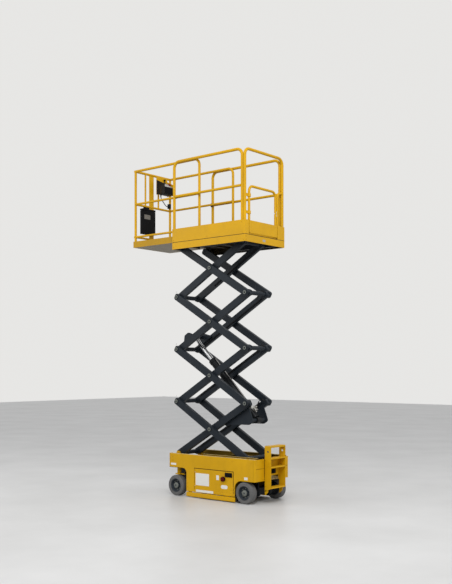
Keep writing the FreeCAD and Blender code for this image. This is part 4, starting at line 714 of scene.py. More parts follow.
class LIFT_OT_console_cable(bpy.types.Operator):
    """The control cable between the console and its junction box"""
    bl_idname = "lift.console_cable"
    bl_label = "Control cable"

    def execute(self, context):
        line = bpy.data.curves.new("control_cable", "CURVE")
        line.dimensions = "3D"
        line.bevel_depth = CABLE_DIAMETER / 2
        line.bevel_resolution = 4
        line.resolution_u = 12
        line.use_fill_caps = True
        spline = line.splines.new("NURBS")
        spline.points.add(len(CABLE_ROUTE) - 1)
        for point, place in zip(spline.points, CABLE_ROUTE):
            point.co = (*place, 1.0)
        spline.order_u = 3
        spline.use_endpoint_u = True
        line.materials.append(MATERIALS["cable_rubber"])
        cable = bpy.data.objects.new("control_cable", line)
        context.scene.collection.objects.link(cable)
        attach(cable, "extension")
        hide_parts("console_cable")
        sleeves, grip = [], CABLE_DIAMETER / 2 + 0.0002
        for name, end, ahead in (("console_sleeve", CABLE_ROUTE[0], (0, 0, -1)),
                                 ("junction_sleeve", CABLE_ROUTE[-1], (0, 1, 0))):
            shape = bmesh.new()
            profile = [(0, grip), (0, 0.0105)]
            for step in range(5):
                along, radius = 0.003 + 0.0046 * step, 0.0100 - 0.0007 * step
                profile += [(along, radius), (along + 0.0026, radius), (along + 0.0030, radius - 0.0012),
                            (along + 0.0040, radius - 0.0012)]
            profile += [(0.027, 0.0067), (0.028, grip), (0, grip)]
            lathe(shape, end, ahead, profile, 28)
            sleeves.append(new_piece(name, shape, "cable_rubber", "extension"))
        return {"FINISHED"}


def ring_profile(first, last, inner, outer):
    """A plain rectangular ring's section."""
    return [(first, inner), (first, outer), (last, outer), (last, inner), (first, inner)]


class LIFT_OT_tyres(bpy.types.Operator):
    """Solid tyres with moulded rings on their sidewalls and two shallow grooves round the tread"""
    bl_idname = "lift.tyres"
    bl_label = "Tyres"

    def execute(self, context):
        half = [(0.0, 0.0965), (0.0, 0.104), (0.0015, 0.106), (0.0015, 0.108), (0.0, 0.110),
                (0.0, 0.1225), (0.0018, 0.1245), (0.0, 0.1265), (0.0, 0.1310), (0.0014, 0.1360),
                (0.0050, 0.1412), (0.0100, 0.1445), (0.0150, 0.1459), (0.0300, 0.1460),
                (0.0310, 0.1442), (0.0335, 0.1442), (0.0345, 0.1460)]
        profile = half + [(WHEEL_WIDTH - along, radius) for along, radius in reversed(half)]
        profile.append(profile[0])
        for end, axle_x in AXLES:
            for side, hand in SIDES:
                shape = bmesh.new()
                start = (axle_x, WHEEL_INSIDE * side, WHEEL_HEIGHT)
                lathe(shape, start, (0, side, 0), profile, 120)
                name = "tyre_%s_%s" % (end, hand)
                tyre = new_piece("solid_" + name, shape, "grey_rubber",
                                 "%s_wheel_%s" % (end, hand))
                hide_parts(name)
        return {"FINISHED"}


class LIFT_OT_hubs(bpy.types.Operator):
    """Dust caps, clamp rings and bolts on the wheel hubs"""
    bl_idname = "lift.hubs"
    bl_label = "Wheel hubs"

    def execute(self, context):
        count = sizes().wheel_bolts
        for end, axle_x in AXLES:
            for side, hand in SIDES:
                body = "%s_wheel_%s" % (end, hand)
                start = Vector((axle_x, WHEEL_INSIDE * side, WHEEL_HEIGHT))
                out = Vector((0, side, 0))
                shape = bmesh.new()
                lathe(shape, start, out, [(0.0842, 0.0215), (0.0842, 0.040), (0.0895, 0.040),
                                          (0.0935, 0.037), (0.0960, 0.030), (0.0985, 0.018),
                                          (0.0990, 0.0135), (0.0940, 0.0125), (0.0842, 0.0215)], 40)
                new_piece("hub_cap_" + body, shape, "hub_enamel", body)
                shape = bmesh.new()
                lathe(shape, start, out, [(0.0842, 0.0), (0.0842, 0.0130), (0.0945, 0.0122), (0.0945, 0.0)], 24)
                lathe(shape, start, out, [(0.088, 0.0868), (0.088, 0.0925), (0.0955, 0.0938),
                                          (0.0975, 0.0918), (0.0975, 0.0885), (0.088, 0.0868)], 72)
                new_piece("hub_seal_" + body, shape, "rim_enamel", body)
                places = []
                for step in range(count):
                    turn = 2 * math.pi * step / count
                    spot = Vector((0.0635 * math.cos(turn), 0, 0.0635 * math.sin(turn)))
                    places.append((start + out * 0.0570 + spot, out))
                bolts("hub_bolts_" + body, places, body, 0.0075, 0.008, "hub_enamel")
        return {"FINISHED"}


class LIFT_OT_ground_controls(bpy.types.Operator):
    """Ground control panel and emergency stop on the left tray door"""
    bl_idname = "lift.ground_controls"
    bl_label = "Ground controls"

    def execute(self, context):
        low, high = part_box("ground_controls")
        body, slot = "tray_door_left", "black_plastic"
        face = low.y
        panel, top, rear = bmesh.new(), high.z - 0.014, low.x + 0.014
        block(panel, (rear, face, top - 0.060), (rear + 0.124, face + 0.008, top), 0.0025)
        block(panel, (rear + 0.010, face + 0.008, top - 0.050),
              (rear + 0.114, face + 0.0095, top - 0.010), 0.0005)
        for step in range(3):
            spot = rear + 0.022 + 0.028 * step
            block(panel, (spot, face + 0.0095, top - 0.042), (spot + 0.018, face + 0.014, top - 0.018),
                  0.0015)
        drum(panel, (rear + 0.104, face + 0.0095, top - 0.030), (0, 1, 0), 0.008, 0.008, 0.001, 24)
        piece = new_piece("ground_panel", panel, "black_plastic", body)
        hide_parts("ground_controls")
        stop = Vector((high.x - 0.030, face, high.z - 0.105))
        collar = bmesh.new()
        lathe(collar, stop, (0, 1, 0), [(0, 0.034), (0.005, 0.034), (0.008, 0.032), (0.008, 0.022),
                                        (0.018, 0.020), (0.018, 0.0)], 40)
        new_piece("stop_collar", collar, "black_plastic", body)
        head = bmesh.new()
        lathe(head, stop, (0, 1, 0), [(0.018, 0.0), (0.018, 0.030), (0.021, 0.033), (0.026, 0.033),
                                      (0.0300, 0.029), (0.0318, 0.018), (0.0320, 0.0)], 40)
        new_piece("stop_head", head, "dull_red", body)
        return {"FINISHED"}


# Where the lower edges of the chassis run: the foot under doors and skirt, and the guards below it.
FOOT_LOW, FOOT_TOP, FOOT_FACE = 0.0845, 0.1235, 0.3826
GUARD_LOW, GUARD_TOP = 0.014, 0.0755

# Blank labels. Columns: name, body, centre, across, up, size, corner radius, finish.
OUT_LEFT = ((-1, 0, 0), (0, 0, 1))
OUT_RIGHT = ((1, 0, 0), (0, 0, 1))
OUT_REAR = ((0, -1, 0), (0, 0, 1))
LABELS = (
    ("placard_left", "tray_door_left", (-0.164, 0.380, 0.268), OUT_LEFT, (0.246, 0.168), 0.006, "blank_label"),
    ("placard_right", "tray_door_right", (-0.300, -0.380, 0.268), OUT_RIGHT, (0.246, 0.168), 0.006,
     "blank_label"),
    ("strip_left", "tray_door_left", (-0.208, FOOT_FACE, 0.107), OUT_LEFT, (0.318, 0.033), 0.004,
     "blank_label"),
    ("door_label_left", "tray_door_left", (-0.442, 0.380, 0.317), OUT_LEFT, (0.047, 0.064), 0.004,
     "blank_label"),
    ("oval_label_left", "tray_door_left", (-0.560, 0.380, 0.199), OUT_LEFT, (0.116, 0.050), 0.022,
     "blank_label"),
    ("wheel_label_rear", "chassis", (-0.934, 0.380, 0.342), OUT_LEFT, (0.058, 0.036), 0.003, "blank_label"),
    ("wheel_label_front", "chassis", (0.380, 0.380, 0.448), OUT_LEFT, (0.100, 0.028), 0.003, "blank_label"),
    ("wheel_label_rear_right", "chassis", (-0.934, -0.380, 0.342), OUT_RIGHT, (0.058, 0.036), 0.003,
     "blank_label"),
    ("channel_label", "platform", (-0.968, 0.028, 3.531), OUT_REAR, (0.060, 0.030), 0.004, "blank_label_grey"),
    ("manual_label", "extension", (1.0784, 0.210, 4.060), OUT_REAR, (0.125, 0.066), 0.004,
     "blank_label_dark"),
)
LABEL_THICK = 0.0008


class LIFT_OT_labels(bpy.types.Operator):
    """Placards and labels, all of them blank"""
    bl_idname = "lift.labels"
    bl_label = "Blank labels"

    def execute(self, context):
        for name, body, centre, (across, up), size, radius, finish in LABELS:
            shape = bmesh.new()
            plate(shape, centre, across, up, size, LABEL_THICK, radius)
            new_piece(name, shape, finish, body)
        return {"FINISHED"}


class LIFT_OT_chassis_trim(bpy.types.Operator):
    """Bolts, seams and small fittings on the chassis"""
    bl_idname = "lift.chassis_trim"
    bl_label = "Chassis trim"

    def execute(self, context):
        radius = sizes().bolt_radius
        places = []
        for side, _ in SIDES:
            out = (0, side, 0)
            for x, z in ((0.400, 0.560), (0.400, 0.500), (-1.020, 0.560), (-0.728, 0.150), (-0.728, 0.200),
                         (0.112, 0.200), (0.112, 0.150), (-0.250, 0.562), (-0.700, 0.562)):
                places.append((Vector((x, 0.380 * side, z)), out))
            for z in (0.330, 0.470, 0.570):
                places.append((Vector((-1.083, 0.205 * side, z)), (-1, 0, 0)))
            for x in (-0.95, -0.55, -0.15, 0.25):
                places.append((Vector((x, 0.357 * side, 0.598)), (0, 0, 1)))
        bolts("chassis_bolts", places, "chassis", radius, radius * 0.75, "yellow_enamel")
        seams = bmesh.new()
        for side, _ in SIDES:
            face = 0.380 * side
            near, far = sorted((0.176 * side, 0.352 * side))
            block(seams, (-1.0836, near, 0.4700), (-1.0825, far, 0.4745))
            near, far = sorted((0.1650 * side, 0.1735 * side))
            block(seams, (-1.0836, near, 0.3100), (-1.0825, far, 0.5960))
            for x in (-1.0585, 0.4465):
                block(seams, (x, min(face, face + 0.0004 * side), 0.412 if x > 0 else 0.310),
                      (x + 0.0016, max(face, face + 0.0004 * side), 0.594))
            inside, outside = sorted((0.3770 * side, 0.3804 * side))
            for low, high in (((-0.7230, 0.4120), (-0.0130, 0.4205)), ((-0.7230, 0.1240), (-0.7140, 0.4120)),
                              ((-0.0175, 0.1240), (-0.0130, 0.4120))):
                block(seams, (low[0], inside, low[1]), (high[0], outside, high[1]))
        new_piece("panel_seams", seams, "seam_shadow", "chassis")
        socket = bmesh.new()
        block(socket, (-1.103, -0.060, 0.392), (-1.083, 0.020, 0.452), 0.004)
        lathe(socket, (-1.103, -0.020, 0.422), (-1, 0, 0), [(0, 0.024), (0.006, 0.024), (0.009, 0.021),
                                                            (0.009, 0.0)], 32)
        new_piece("charger_socket", socket, "black_plastic", "chassis")
        return {"FINISHED"}


def slab(shape, outline, axis, low, high):
    """A flat shape between two places on an axis: outline holds pairs on the other two axes."""
    def corner(first, second, along):
        spot = [first, second]
        spot.insert(axis, along)
        return shape.verts.new(spot)
    near, far = ([corner(first, second, along) for first, second in outline] for along in (low, high))
    shape.faces.new(near)
    shape.faces.new(list(reversed(far)))
    for step in range(len(outline)):
        following = (step + 1) % len(outline)
        shape.faces.new([near[step], near[following], far[following], far[step]])


class LIFT_OT_guards(bpy.types.Operator):
    """Hinged guards close above the floor, with the leaves that carry them"""
    bl_idname = "lift.guards"
    bl_label = "Guards"

    def execute(self, context):
        leaf = [(0.3775, 0.0740), (0.3775, 0.0640), (0.3650, 0.0640), (0.3650, 0.1062), (0.3710, 0.1062),
                (0.3710, 0.0740)]
        for side, hand in SIDES:
            shape = bmesh.new()
            inside, outside = sorted((0.3770 * side, 0.3830 * side))
            block(shape, (-0.750, inside, GUARD_LOW), (0.133, outside, GUARD_TOP), 0.0012)
            inside, outside = sorted((0.3829 * side, 0.3850 * side))
            block(shape, (-0.738, inside, GUARD_LOW + 0.006), (0.121, outside, GUARD_LOW + 0.026), 0.0009)
            for x in (-0.640, -0.310, 0.040):
                slab(shape, [(y * side, z) for y, z in leaf], 0, x, x + 0.060)
                drum(shape, (x - 0.010, 0.368 * side, 0.1062), (1, 0, 0), 0.080, 0.0053, 0.0008, 16)
            guard = new_piece("belly_guard_" + hand, shape, "yellow_enamel", "pothole_guard_" + hand)
            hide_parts("pothole_guard_" + hand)
        return {"FINISHED"}


class LIFT_OT_lower_chassis(bpy.types.Operator):
    """Feet under the skirt and the ladder, and a dark steering housing between the front wheels, its near-black
    enamel a painted shade behind the front arches
    """
    bl_idname = "lift.lower_chassis"
    bl_label = "Lower chassis"

    def execute(self, context):
        feet, ladder = bmesh.new(), bmesh.new()
        for side, _ in SIDES:
            inside, outside = sorted((0.3745 * side, 0.3800 * side))
            for start, end in ((-0.740, -0.7165), (-0.0195, 0.133)):
                block(feet, (start, inside, FOOT_LOW), (end, outside, 0.1125), 0.0008)
            inside, outside = sorted((0.1590 * side, 0.1640 * side))
            slab(ladder, [(-1.0835, 0.180), (-1.0835, 0.116), (-1.0980, 0.116), (-1.1400, 0.160),
                          (-1.1400, 0.180)], 1, inside, outside)
        new_piece("skirt_feet", feet, "yellow_enamel", "chassis")
        new_piece("ladder_feet", ladder, "yellow_enamel", "chassis")
        # A steering housing in near-black enamel, put behind the front arches as painted shade.
        housing = bmesh.new()
        block(housing, (0.325, -0.150, 0.215), (0.462, 0.150, 0.399), 0.006)
        block(housing, (0.318, -0.156, 0.205), (0.466, 0.156, 0.217), 0.003)
        for y in (-0.080, 0.0, 0.080):
            block(housing, (0.462, y - 0.004, 0.225), (0.470, y + 0.004, 0.395), 0.002)
        drum(housing, (0.318, -0.110, 0.302), (0, 1, 0), 0.220, 0.018, 0.002, 24)
        new_piece("steering_housing_painted_shade", housing, "dark_enamel", "chassis")
        return {"FINISHED"}


class LIFT_OT_door_trim(bpy.types.Operator):
    """Latches and hinge screws of the tray doors"""
    bl_idname = "lift.door_trim"
    bl_label = "Door trim"

    def execute(self, context):
        for side, hand in SIDES:
            body = "tray_door_" + hand
            low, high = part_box(body)
            latch = bmesh.new()
            spot = (low.x + 0.038, 0.380 * side, low.z + 0.055)
            lathe(latch, spot, (0, side, 0), [(0, 0.016), (0.002, 0.016), (0.0035, 0.0145), (0.0035, 0.010),
                                              (0.0022, 0.0095), (0.0022, 0.0)], 32)
            new_piece("door_latch_" + hand, latch, "yellow_enamel", body)
            foot = bmesh.new()
            inside, outside = sorted((0.3801 * side, FOOT_FACE * side))
            block(foot, (low.x, inside, FOOT_LOW), (-0.022, outside, FOOT_TOP), 0.0008)
            new_piece("door_foot_" + hand, foot, "yellow_enamel", body)
            places = []
            for z in (0.176, 0.366):
                for offset in (0.008, 0.018):
                    places.append((Vector((high.x - 0.0045 - offset, 0.382 * side, z)), (0, side, 0)))
            bolts("hinge_screws_" + hand, places, body, 0.0026, 0.0016)
        return {"FINISHED"}


class LIFT_OT_ladder_trim(bpy.types.Operator):
    """Grip studs on the ladder's treads and the bolts that hold it"""
    bl_idname = "lift.ladder_trim"
    bl_label = "Ladder trim"

    def execute(self, context):
        low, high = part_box("ladder")
        for label, level in (("low", 0.221), ("middle", 0.495), ("high", 0.612)):
            studs("tread_grip_" + label, (low.x + 0.004, -0.155), (high.x - 0.004, 0.155), level, 0.0165,
                  "chassis", "yellow_paint", "yellow_enamel", Long=0.0052, Wide=0.0052, Rise=0.0022,
                  Turn=0.3, Sides=8)
        places = [(Vector((-1.096, 0.164 * side, z)), (0, side, 0))
                  for side, _ in SIDES for z in (0.245, 0.420, 0.590)]
        bolts("ladder_bolts", places, "chassis", 0.007, 0.005, "yellow_enamel")
        return {"FINISHED"}


class LIFT_OT_arm_trim(bpy.types.Operator):
    """Collars, welds, grease nipples and pin bolts of the scissor arms"""
    bl_idname = "lift.arm_trim"
    bl_label = "Arm trim"

    def execute(self, context):
        for stage in STAGES:
            inner, outer, total = arm_matrix(stage, False), arm_matrix(stage, True), arm_total(stage)
            y_axis = Vector((0, 1, 0))
            collars, rings, nipples = bmesh.new(), [], []
            ends = [total] if stage == 1 else [0.0, total]
            for along in ends:
                for side, _ in SIDES:
                    face = inner @ Vector((along, (INNER_FACE - 0.0002) * side, 0))
                    lathe(collars, face, -y_axis * side,
                          [(0, CROSS_TUBE + 0.0002), (0, 0.043), (0.014, 0.043), (0.017, 0.040),
                           (0.017, CROSS_TUBE + 0.0002), (0, CROSS_TUBE + 0.0002)], 40)
                    rings.append((inner @ Vector((along, 0.1525 * side, 0)), y_axis, CROSS_TUBE + 0.001))
            new_piece("tube_collars_%d" % stage, collars, "arm_enamel", "inner_%d" % stage)
            welds("tube_welds_%d" % stage, rings, "inner_%d" % stage, "arm_enamel")
            pins = [ARM_LENGTH / 2] + ([0.0] if stage > 1 else []) + ([total] if stage < 4 else [])
            caps, washers, places = bmesh.new(), bmesh.new(), []
            for along in pins:
                for side, _ in SIDES:
                    out = y_axis * side
                    face = outer @ Vector((along, OUTER_FACE * side, 0))
                    lathe(caps, face, out, [(0, 0.0302), (0, 0.034), (0.0045, 0.034), (0.006, 0.0325),
                                            (0.006, 0.0302), (0, 0.0302)], 40)
                    lathe(washers, face + out * 0.007, out, [(0, 0.0120), (0, 0.0262), (0.0025, 0.0255),
                                                            (0.0025, 0.0125), (0, 0.0120)], 40)
                    places.append((face + out * 0.007, out))
                    nipples.append((outer @ Vector((along + 0.060, (OUTER_FACE - 0.025) * side, 0.047)),
                                    outer.to_3x3() @ Vector((0, 0, 1))))
            new_piece("pin_rings_%d" % stage, caps, "arm_enamel", "outer_%d" % stage)
            new_piece("pin_washers_%d" % stage, washers, "hub_enamel", "outer_%d" % stage)
            bolts("pin_bolts_%d" % stage, places, "outer_%d" % stage, 0.0066, 0.004,
                  "dark_enamel")
            bolts("grease_nipples_%d" % stage, nipples, "outer_%d" % stage, 0.0030, 0.006,
                  "worn_steel")
        return {"FINISHED"}


class LIFT_OT_arm_hoses(bpy.types.Operator):
    """Hydraulic hose and cable runs clipped inside the far inner arms"""
    bl_idname = "lift.arm_hoses"
    bl_label = "Hoses on the arms"

    def execute(self, context):
        radius = sizes().hose_radius
        for stage in STAGES:
            matrix, total = arm_matrix(stage, False), arm_total(stage)
            level = 0.026 if stage < 3 else -0.026
            last = total - (0.38 if stage == 4 else 0.085)
            side = -1
            hoses, clips = bmesh.new(), bmesh.new()
            for lane in (0, 1):
                height = level + (0.5 - lane) * 2.4 * radius
                across = (INNER_FACE - radius - 0.002) * side
                corners = [(0.085, INNER_FACE * side, height), (0.085, across, height),
                           (last, across, height), (last, INNER_FACE * side, height)]
                bend = 0.005
                pipe(hoses, [matrix @ spot for spot in bent(corners, bend)], radius, 14)
            for step in range(6):
                along = 0.14 + (last - 0.195) * step / 5
                block(clips, (along - 0.006, min(INNER_FACE * side, (INNER_FACE - 2 * radius - 0.0045) * side),
                              level - 2.6 * radius),
                      (along + 0.006, max(INNER_FACE * side, (INNER_FACE - 2 * radius - 0.0045) * side),
                       level + 2.6 * radius), 0.001)
            bmesh.ops.transform(clips, matrix=matrix, verts=clips.verts)
            for lane in (0, 1) if stage < 4 else ():
                reach, rise, run = 0.048 + 0.008 * lane, 0.044 + 0.008 * lane, -0.112 - 0.020 * lane
                loop = [(0.130, run, -0.012), (0.052, run, rise), (-0.014, run, reach), (-0.034, run, 0.006)]
                pipe(hoses, [matrix @ Vector(spot) for spot in bent(loop, 0.018)], radius, 12)
            body = "inner_%d" % stage
            new_piece("arm_hoses_%d" % stage, hoses, "cable_rubber", body)
            new_piece("hose_clips_%d" % stage, clips, "dark_enamel", body)
        return {"FINISHED"}


class LIFT_OT_cylinder_trim(bpy.types.Operator):
    """Ports, valve block and wiper of the lift cylinder"""
    bl_idname = "lift.cylinder_trim"
    bl_label = "Cylinder trim"

    def execute(self, context):
        axis = (CYLINDER_HEAD - CYLINDER_FOOT).normalized()
        up = Vector((0, 1, 0)).cross(axis) * -1
        valves = bmesh.new()
        turn = Matrix.Translation(CYLINDER_FOOT) @ Matrix(
            [[axis.x, 0, up.x, 0], [axis.y, 1, up.y, 0], [axis.z, 0, up.z, 0], [0, 0, 0, 1]])
        block(valves, (0.105, -0.032, 0.050), (0.185, 0.032, 0.092), 0.003, turn)
        drum(valves, turn @ Vector((0.145, 0, 0.092)), up, 0.030, 0.011, 0.002, 20)
        drum(valves, turn @ Vector((0.105, 0.012, 0.072)), -axis, 0.022, 0.009, 0.001, 6)
        new_piece("valve_block", valves, "zinc_steel", "cylinder_barrel")
        trim = bmesh.new()
        for along in (0.170, 0.760):
            lathe(trim, CYLINDER_FOOT + axis * along, axis, ring_profile(0, 0.010, 0.0552, 0.0590), 40)
        lathe(trim, CYLINDER_FOOT + axis * 1.150, axis, [(0, 0.0288), (0, 0.046), (0.004, 0.046),
                                                       (0.008, 0.040), (0.008, 0.0288), (0, 0.0288)], 40)
        new_piece("barrel_bands", trim, "barrel_enamel", "cylinder_barrel")
        line = bmesh.new()
        corners = [(0.150, 0.020, 0.085), (0.150, 0.020, 0.066), (1.120, 0.020, 0.066), (1.120, 0.010, 0.052)]
        pipe(line, [turn @ spot for spot in bent(corners, 0.006)], 0.005, 12)
        new_piece("return_line", line, "worn_steel", "cylinder_barrel")
        return {"FINISHED"}


class LIFT_OT_deck_studs(bpy.types.Operator):
    """Raised tread pattern on both decks"""
    bl_idname = "lift.deck_studs"
    bl_label = "Deck tread"

    def execute(self, context):
        pitch = sizes().stud_pitch
        shape = {"Long": 0.0135, "Wide": 0.0038, "Rise": 0.0016, "Turn": 0.785, "Sides": 6}
        # the extension's pads slide along the deck on bare lanes
        lane, spare = (0.200, 0.240), 0.016
        for name, low_y, high_y in (("right", -0.375, -lane[1] - spare), ("middle", spare - lane[0], lane[0] - spare),
                                    ("left", lane[1] + spare, 0.375)):
            if high_y - low_y > pitch:
                studs("main_deck_tread_" + name, (-0.905, low_y), (-0.130, high_y), 3.584, pitch, "platform",
                      "deck_paint", "deck_enamel", **shape)
        studs("extension_deck_tread", (-0.100, -0.340), (1.135, 0.340), 3.600, pitch, "extension",
              "deck_paint", "deck_enamel", **shape)
        return {"FINISHED"}


class LIFT_OT_platform_trim(bpy.types.Operator):
    """Shadow gaps, rivets and welds of the platform's sides and rails"""
    bl_idname = "lift.platform_trim"
    bl_label = "Platform trim"

    def execute(self, context):
        gaps = bmesh.new()
        for side, _ in SIDES:
            face = 0.440 * side
            block(gaps, (-0.962, min(face, face + 0.0006 * side), 3.5830),
                  (0.345, max(face, face + 0.0006 * side), 3.5868))
        block(gaps, (-0.9686, -0.434, 3.5830), (-0.968, 0.434, 3.5868))
        new_piece("toe_board_gaps", gaps, "seam_shadow", "platform")
        radius = sizes().bolt_radius
        places = [(Vector((x, 0.440 * side, z)), (0, side, 0)) for side, _ in SIDES
                  for x, z in ((-0.920, 3.612), (-0.910, 3.748), (0.330, 3.612), (0.330, 3.748),
                               (-0.300, 3.612), (-0.945, 3.510), (0.325, 3.510))]
        places += [(Vector((-0.968, y, z)), (-1, 0, 0)) for y in (-0.415, 0.415) for z in (3.512, 3.556)]
        bolts("platform_bolts", places, "platform", radius * 0.8, radius * 0.5,
              "yellow_enamel")
        rings, x_axis, y_axis, z_axis = [], (1, 0, 0), (0, 1, 0), (0, 0, 1)
        for side, _ in SIDES:
            for x in (-0.882, 0.311):
                rings.append((Vector((x, 0.417 * side, 4.235)), x_axis, 0.0185))
            for x in (-0.902, 0.331):
                rings.append((Vector((x, 0.417 * side, 3.586)), z_axis, 0.0215))
        welds("rail_welds", rings, "platform", "yellow_enamel", 0.0032)
        rings = []
        for side, _ in SIDES:
            for z, tube in ((4.235, 0.0165), (3.750, 0.0155)):
                rings.append((Vector((1.1445, 0.368 * side, z)), x_axis, tube))
                rings.append((Vector((-0.082, 0.368 * side, z)), x_axis, tube))
                rings.append((Vector((1.163, 0.3495 * side, z)), y_axis, tube))
            rings.append((Vector((1.163, 0.368 * side, 3.602)), z_axis, 0.0195))
            rings.append((Vector((-0.100, 0.368 * side, 3.602)), z_axis, 0.0195))
        welds("extension_welds", rings, "extension", "yellow_enamel", 0.0030)
        return {"FINISHED"}


class LIFT_OT_rail_fittings(bpy.types.Operator):
    """Slide guides between the rails and the slide lock pin of the extension"""
    bl_idname = "lift.rail_fittings"
    bl_label = "Rail fittings"

    def execute(self, context):
        guides = bmesh.new()
        for side, _ in SIDES:
            for z in (4.235, 3.720):
                low = min(0.388 * side, 0.398 * side)
                block(guides, (0.312, low, z - 0.026), (0.350, low + 0.010, z + 0.026), 0.003)
        new_piece("slide_guides", guides, "black_plastic", "platform")
        locks = bmesh.new()
        drum(locks, (-0.060, 0.3865, 4.235), (0, -1, 0), 0.034, 0.007, 0.001, 20)
        pipe(locks, bent([(-0.060, 0.352, 4.235), (-0.060, 0.345, 4.235), (-0.060, 0.345, 4.180),
                          (-0.060, 0.345, 4.150)], 0.004), 0.004, 10)
        new_piece("slide_lock_pin", locks, "zinc_steel", "extension")
        return {"FINISHED"}


class LIFT_OT_gate_trim(bpy.types.Operator):
    """Latch bar and rivets of the gate"""
    bl_idname = "lift.gate_trim"
    bl_label = "Gate trim"

    def execute(self, context):
        latch = bmesh.new()
        block(latch, (-0.953, -0.284, 3.900), (-0.939, -0.2755, 3.980), 0.001)
        drum(latch, (-0.946, -0.276, 3.940), (0, 1, 0), 0.040, 0.007, 0.001, 20)
        new_piece("gate_latch", latch, "zinc_steel", "gate")
        places = [(Vector((-0.9645, y, 3.640)), (-1, 0, 0)) for y in (-0.230, 0.030, 0.290)]
        places += [(Vector((-0.9645, y, 3.745)), (-1, 0, 0)) for y in (-0.230, 0.290)]
        bolts("gate_rivets", places, "gate", 0.0045, 0.0022, "yellow_enamel")
        return {"FINISHED"}


class LIFT_OT_manual_store(bpy.types.Operator):
    """Lid, hinge and catch of the manual box"""
    bl_idname = "lift.manual_store"
    bl_label = "Manual box"

    def execute(self, context):
        low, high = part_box("manual_box")
        top = 4.183
        box = bmesh.new()
        block(box, (low.x + 0.0015, low.y + 0.0015, low.z), (high.x - 0.001, high.y - 0.0015, top - 0.030),
              0.006)
        block(box, (low.x, low.y, top - 0.028), (high.x - 0.001, high.y, top), 0.005)
        for height in (0.060, 0.290):
            block(box, (low.x - 0.0002, low.y + 0.010, low.z + height),
                  (low.x + 0.004, high.y - 0.010, low.z + height + 0.006), 0.0015)
        block(box, (low.x - 0.0005, 0.156, top - 0.050), (low.x + 0.004, 0.182, top - 0.012), 0.0015)
        block(box, (high.x - 0.004, 0.106, top - 0.002), (high.x, 0.226, 4.220), 0.001)
        piece = new_piece("manual_case", box, "black_plastic", "extension")
        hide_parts("manual_box")
        return {"FINISHED"}


class LIFT_OT_console(bpy.types.Operator):
    """Platform console: housing, membrane, switches, joystick and emergency stop"""
    bl_idname = "lift.console"
    bl_label = "Platform console"

    def execute(self, context):
        low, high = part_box("platform_console")
        body, slot = "extension", "black_plastic"
        back, front = high.x, low.x
        nose, top, ridge = low.z + 0.096, low.z + 0.176, back - 0.040
        outline = [(back, low.z), (back, top), (ridge, top), (front, nose), (front, low.z)]
        housing = bmesh.new()
        first, second = ([housing.verts.new((x, y, z)) for x, z in outline] for y in (low.y, high.y))
        housing.faces.new(first)
        housing.faces.new(list(reversed(second)))
        for step in range(len(outline)):
            following = (step + 1) % len(outline)
            housing.faces.new([first[step], first[following], second[following], second[step]])
        bmesh.ops.bevel(housing, geom=housing.edges[:], offset=0.007, segments=3, affect="EDGES",
                        profile=0.55)
        piece = new_piece("console_housing", housing, "black_plastic", body)
        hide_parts("platform_console")
        slope = Vector((ridge - front, 0, top - nose))
        middle = Vector(((ridge + front) / 2, (low.y + high.y) / 2, (nose + top) / 2))
        out = Vector((-slope.z, 0, slope.x)).normalized()
        panel = bmesh.new()
        plate(panel, middle, (0, -1, 0), slope, (0.196, slope.length - 0.020), 0.0012, 0.006)
        new_piece("console_membrane", panel, "blank_label_grey", body)
        along = slope.normalized()

        def spot(across, up, rise=0.0012):
            return middle + Vector((0, across, 0)) + along * up + out * rise
        keys = bmesh.new()
        for across in (-0.030, 0.0, 0.030, 0.060):
            lathe(keys, spot(across, -0.028), out, [(0, 0.009), (0.003, 0.009), (0.004, 0.008), (0.004, 0.0)],
                  24)
        new_piece("console_keys", keys, "switch_white", body)
        enable = bmesh.new()
        lathe(enable, spot(0.045, 0.022), out, [(0, 0.012), (0.004, 0.012), (0.006, 0.010), (0.006, 0.0)], 28)
        new_piece("console_lift_key", enable, "switch_green", body)
        stop = bmesh.new()
        lathe(stop, spot(-0.078, 0.020), out, [(0, 0.012), (0.010, 0.012), (0.010, 0.019), (0.013, 0.021),
                                               (0.018, 0.021), (0.022, 0.016), (0.023, 0.0)], 32)
        new_piece("console_stop", stop, "stop_red", body)
        lever = Vector((back - 0.020, -0.205, top))
        stick = bmesh.new()
        lathe(stick, lever, (0, 0, 1), [(0, 0.018), (0.003, 0.018), (0.005, 0.014), (0.008, 0.0155),
                                        (0.010, 0.0115), (0.013, 0.0125), (0.015, 0.009), (0.018, 0.007),
                                        (0.036, 0.0065), (0.040, 0.0110), (0.046, 0.0145), (0.056, 0.0155),
                                        (0.063, 0.0130), (0.067, 0.0070), (0.0675, 0.0)], 32)
        new_piece("console_lever", stick, "black_plastic", body)
        places = [(Vector((high.x + 0.006, y, z)), (1, 0, 0)) for y in (-0.255, -0.075)
                  for z in (4.480, 4.600)]
        bolts("console_bolts", places, body, 0.0045, 0.003)
        return {"FINISHED"}


class LIFT_OT_axle_trim(bpy.types.Operator):
    """Cooling ribs of the drive motors and the battery caps"""
    bl_idname = "lift.axle_trim"
    bl_label = "Axle trim"

    def execute(self, context):
        ribs = bmesh.new()
        for side, _ in SIDES:
            for step in range(9):
                lathe(ribs, (-0.900, (0.152 + 0.011 * step) * side, WHEEL_HEIGHT), (0, side, 0),
                      ring_profile(0, 0.003, 0.0782, 0.0830), 40)
        new_piece("motor_ribs", ribs, "dark_enamel", "chassis")
        caps = bmesh.new()
        battery_low, battery_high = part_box("battery_pack")
        for column in range(4):
            for row in range(3):
                spot = (battery_low.x + 0.07 + 0.14 * column, -0.16 + 0.16 * row, battery_high.z)
                lathe(caps, spot, (0, 0, 1), [(0, 0.020), (0.008, 0.020), (0.010, 0.018), (0.010, 0.0)], 16)
        new_piece("battery_caps", caps, "switch_white", "chassis")
        return {"FINISHED"}


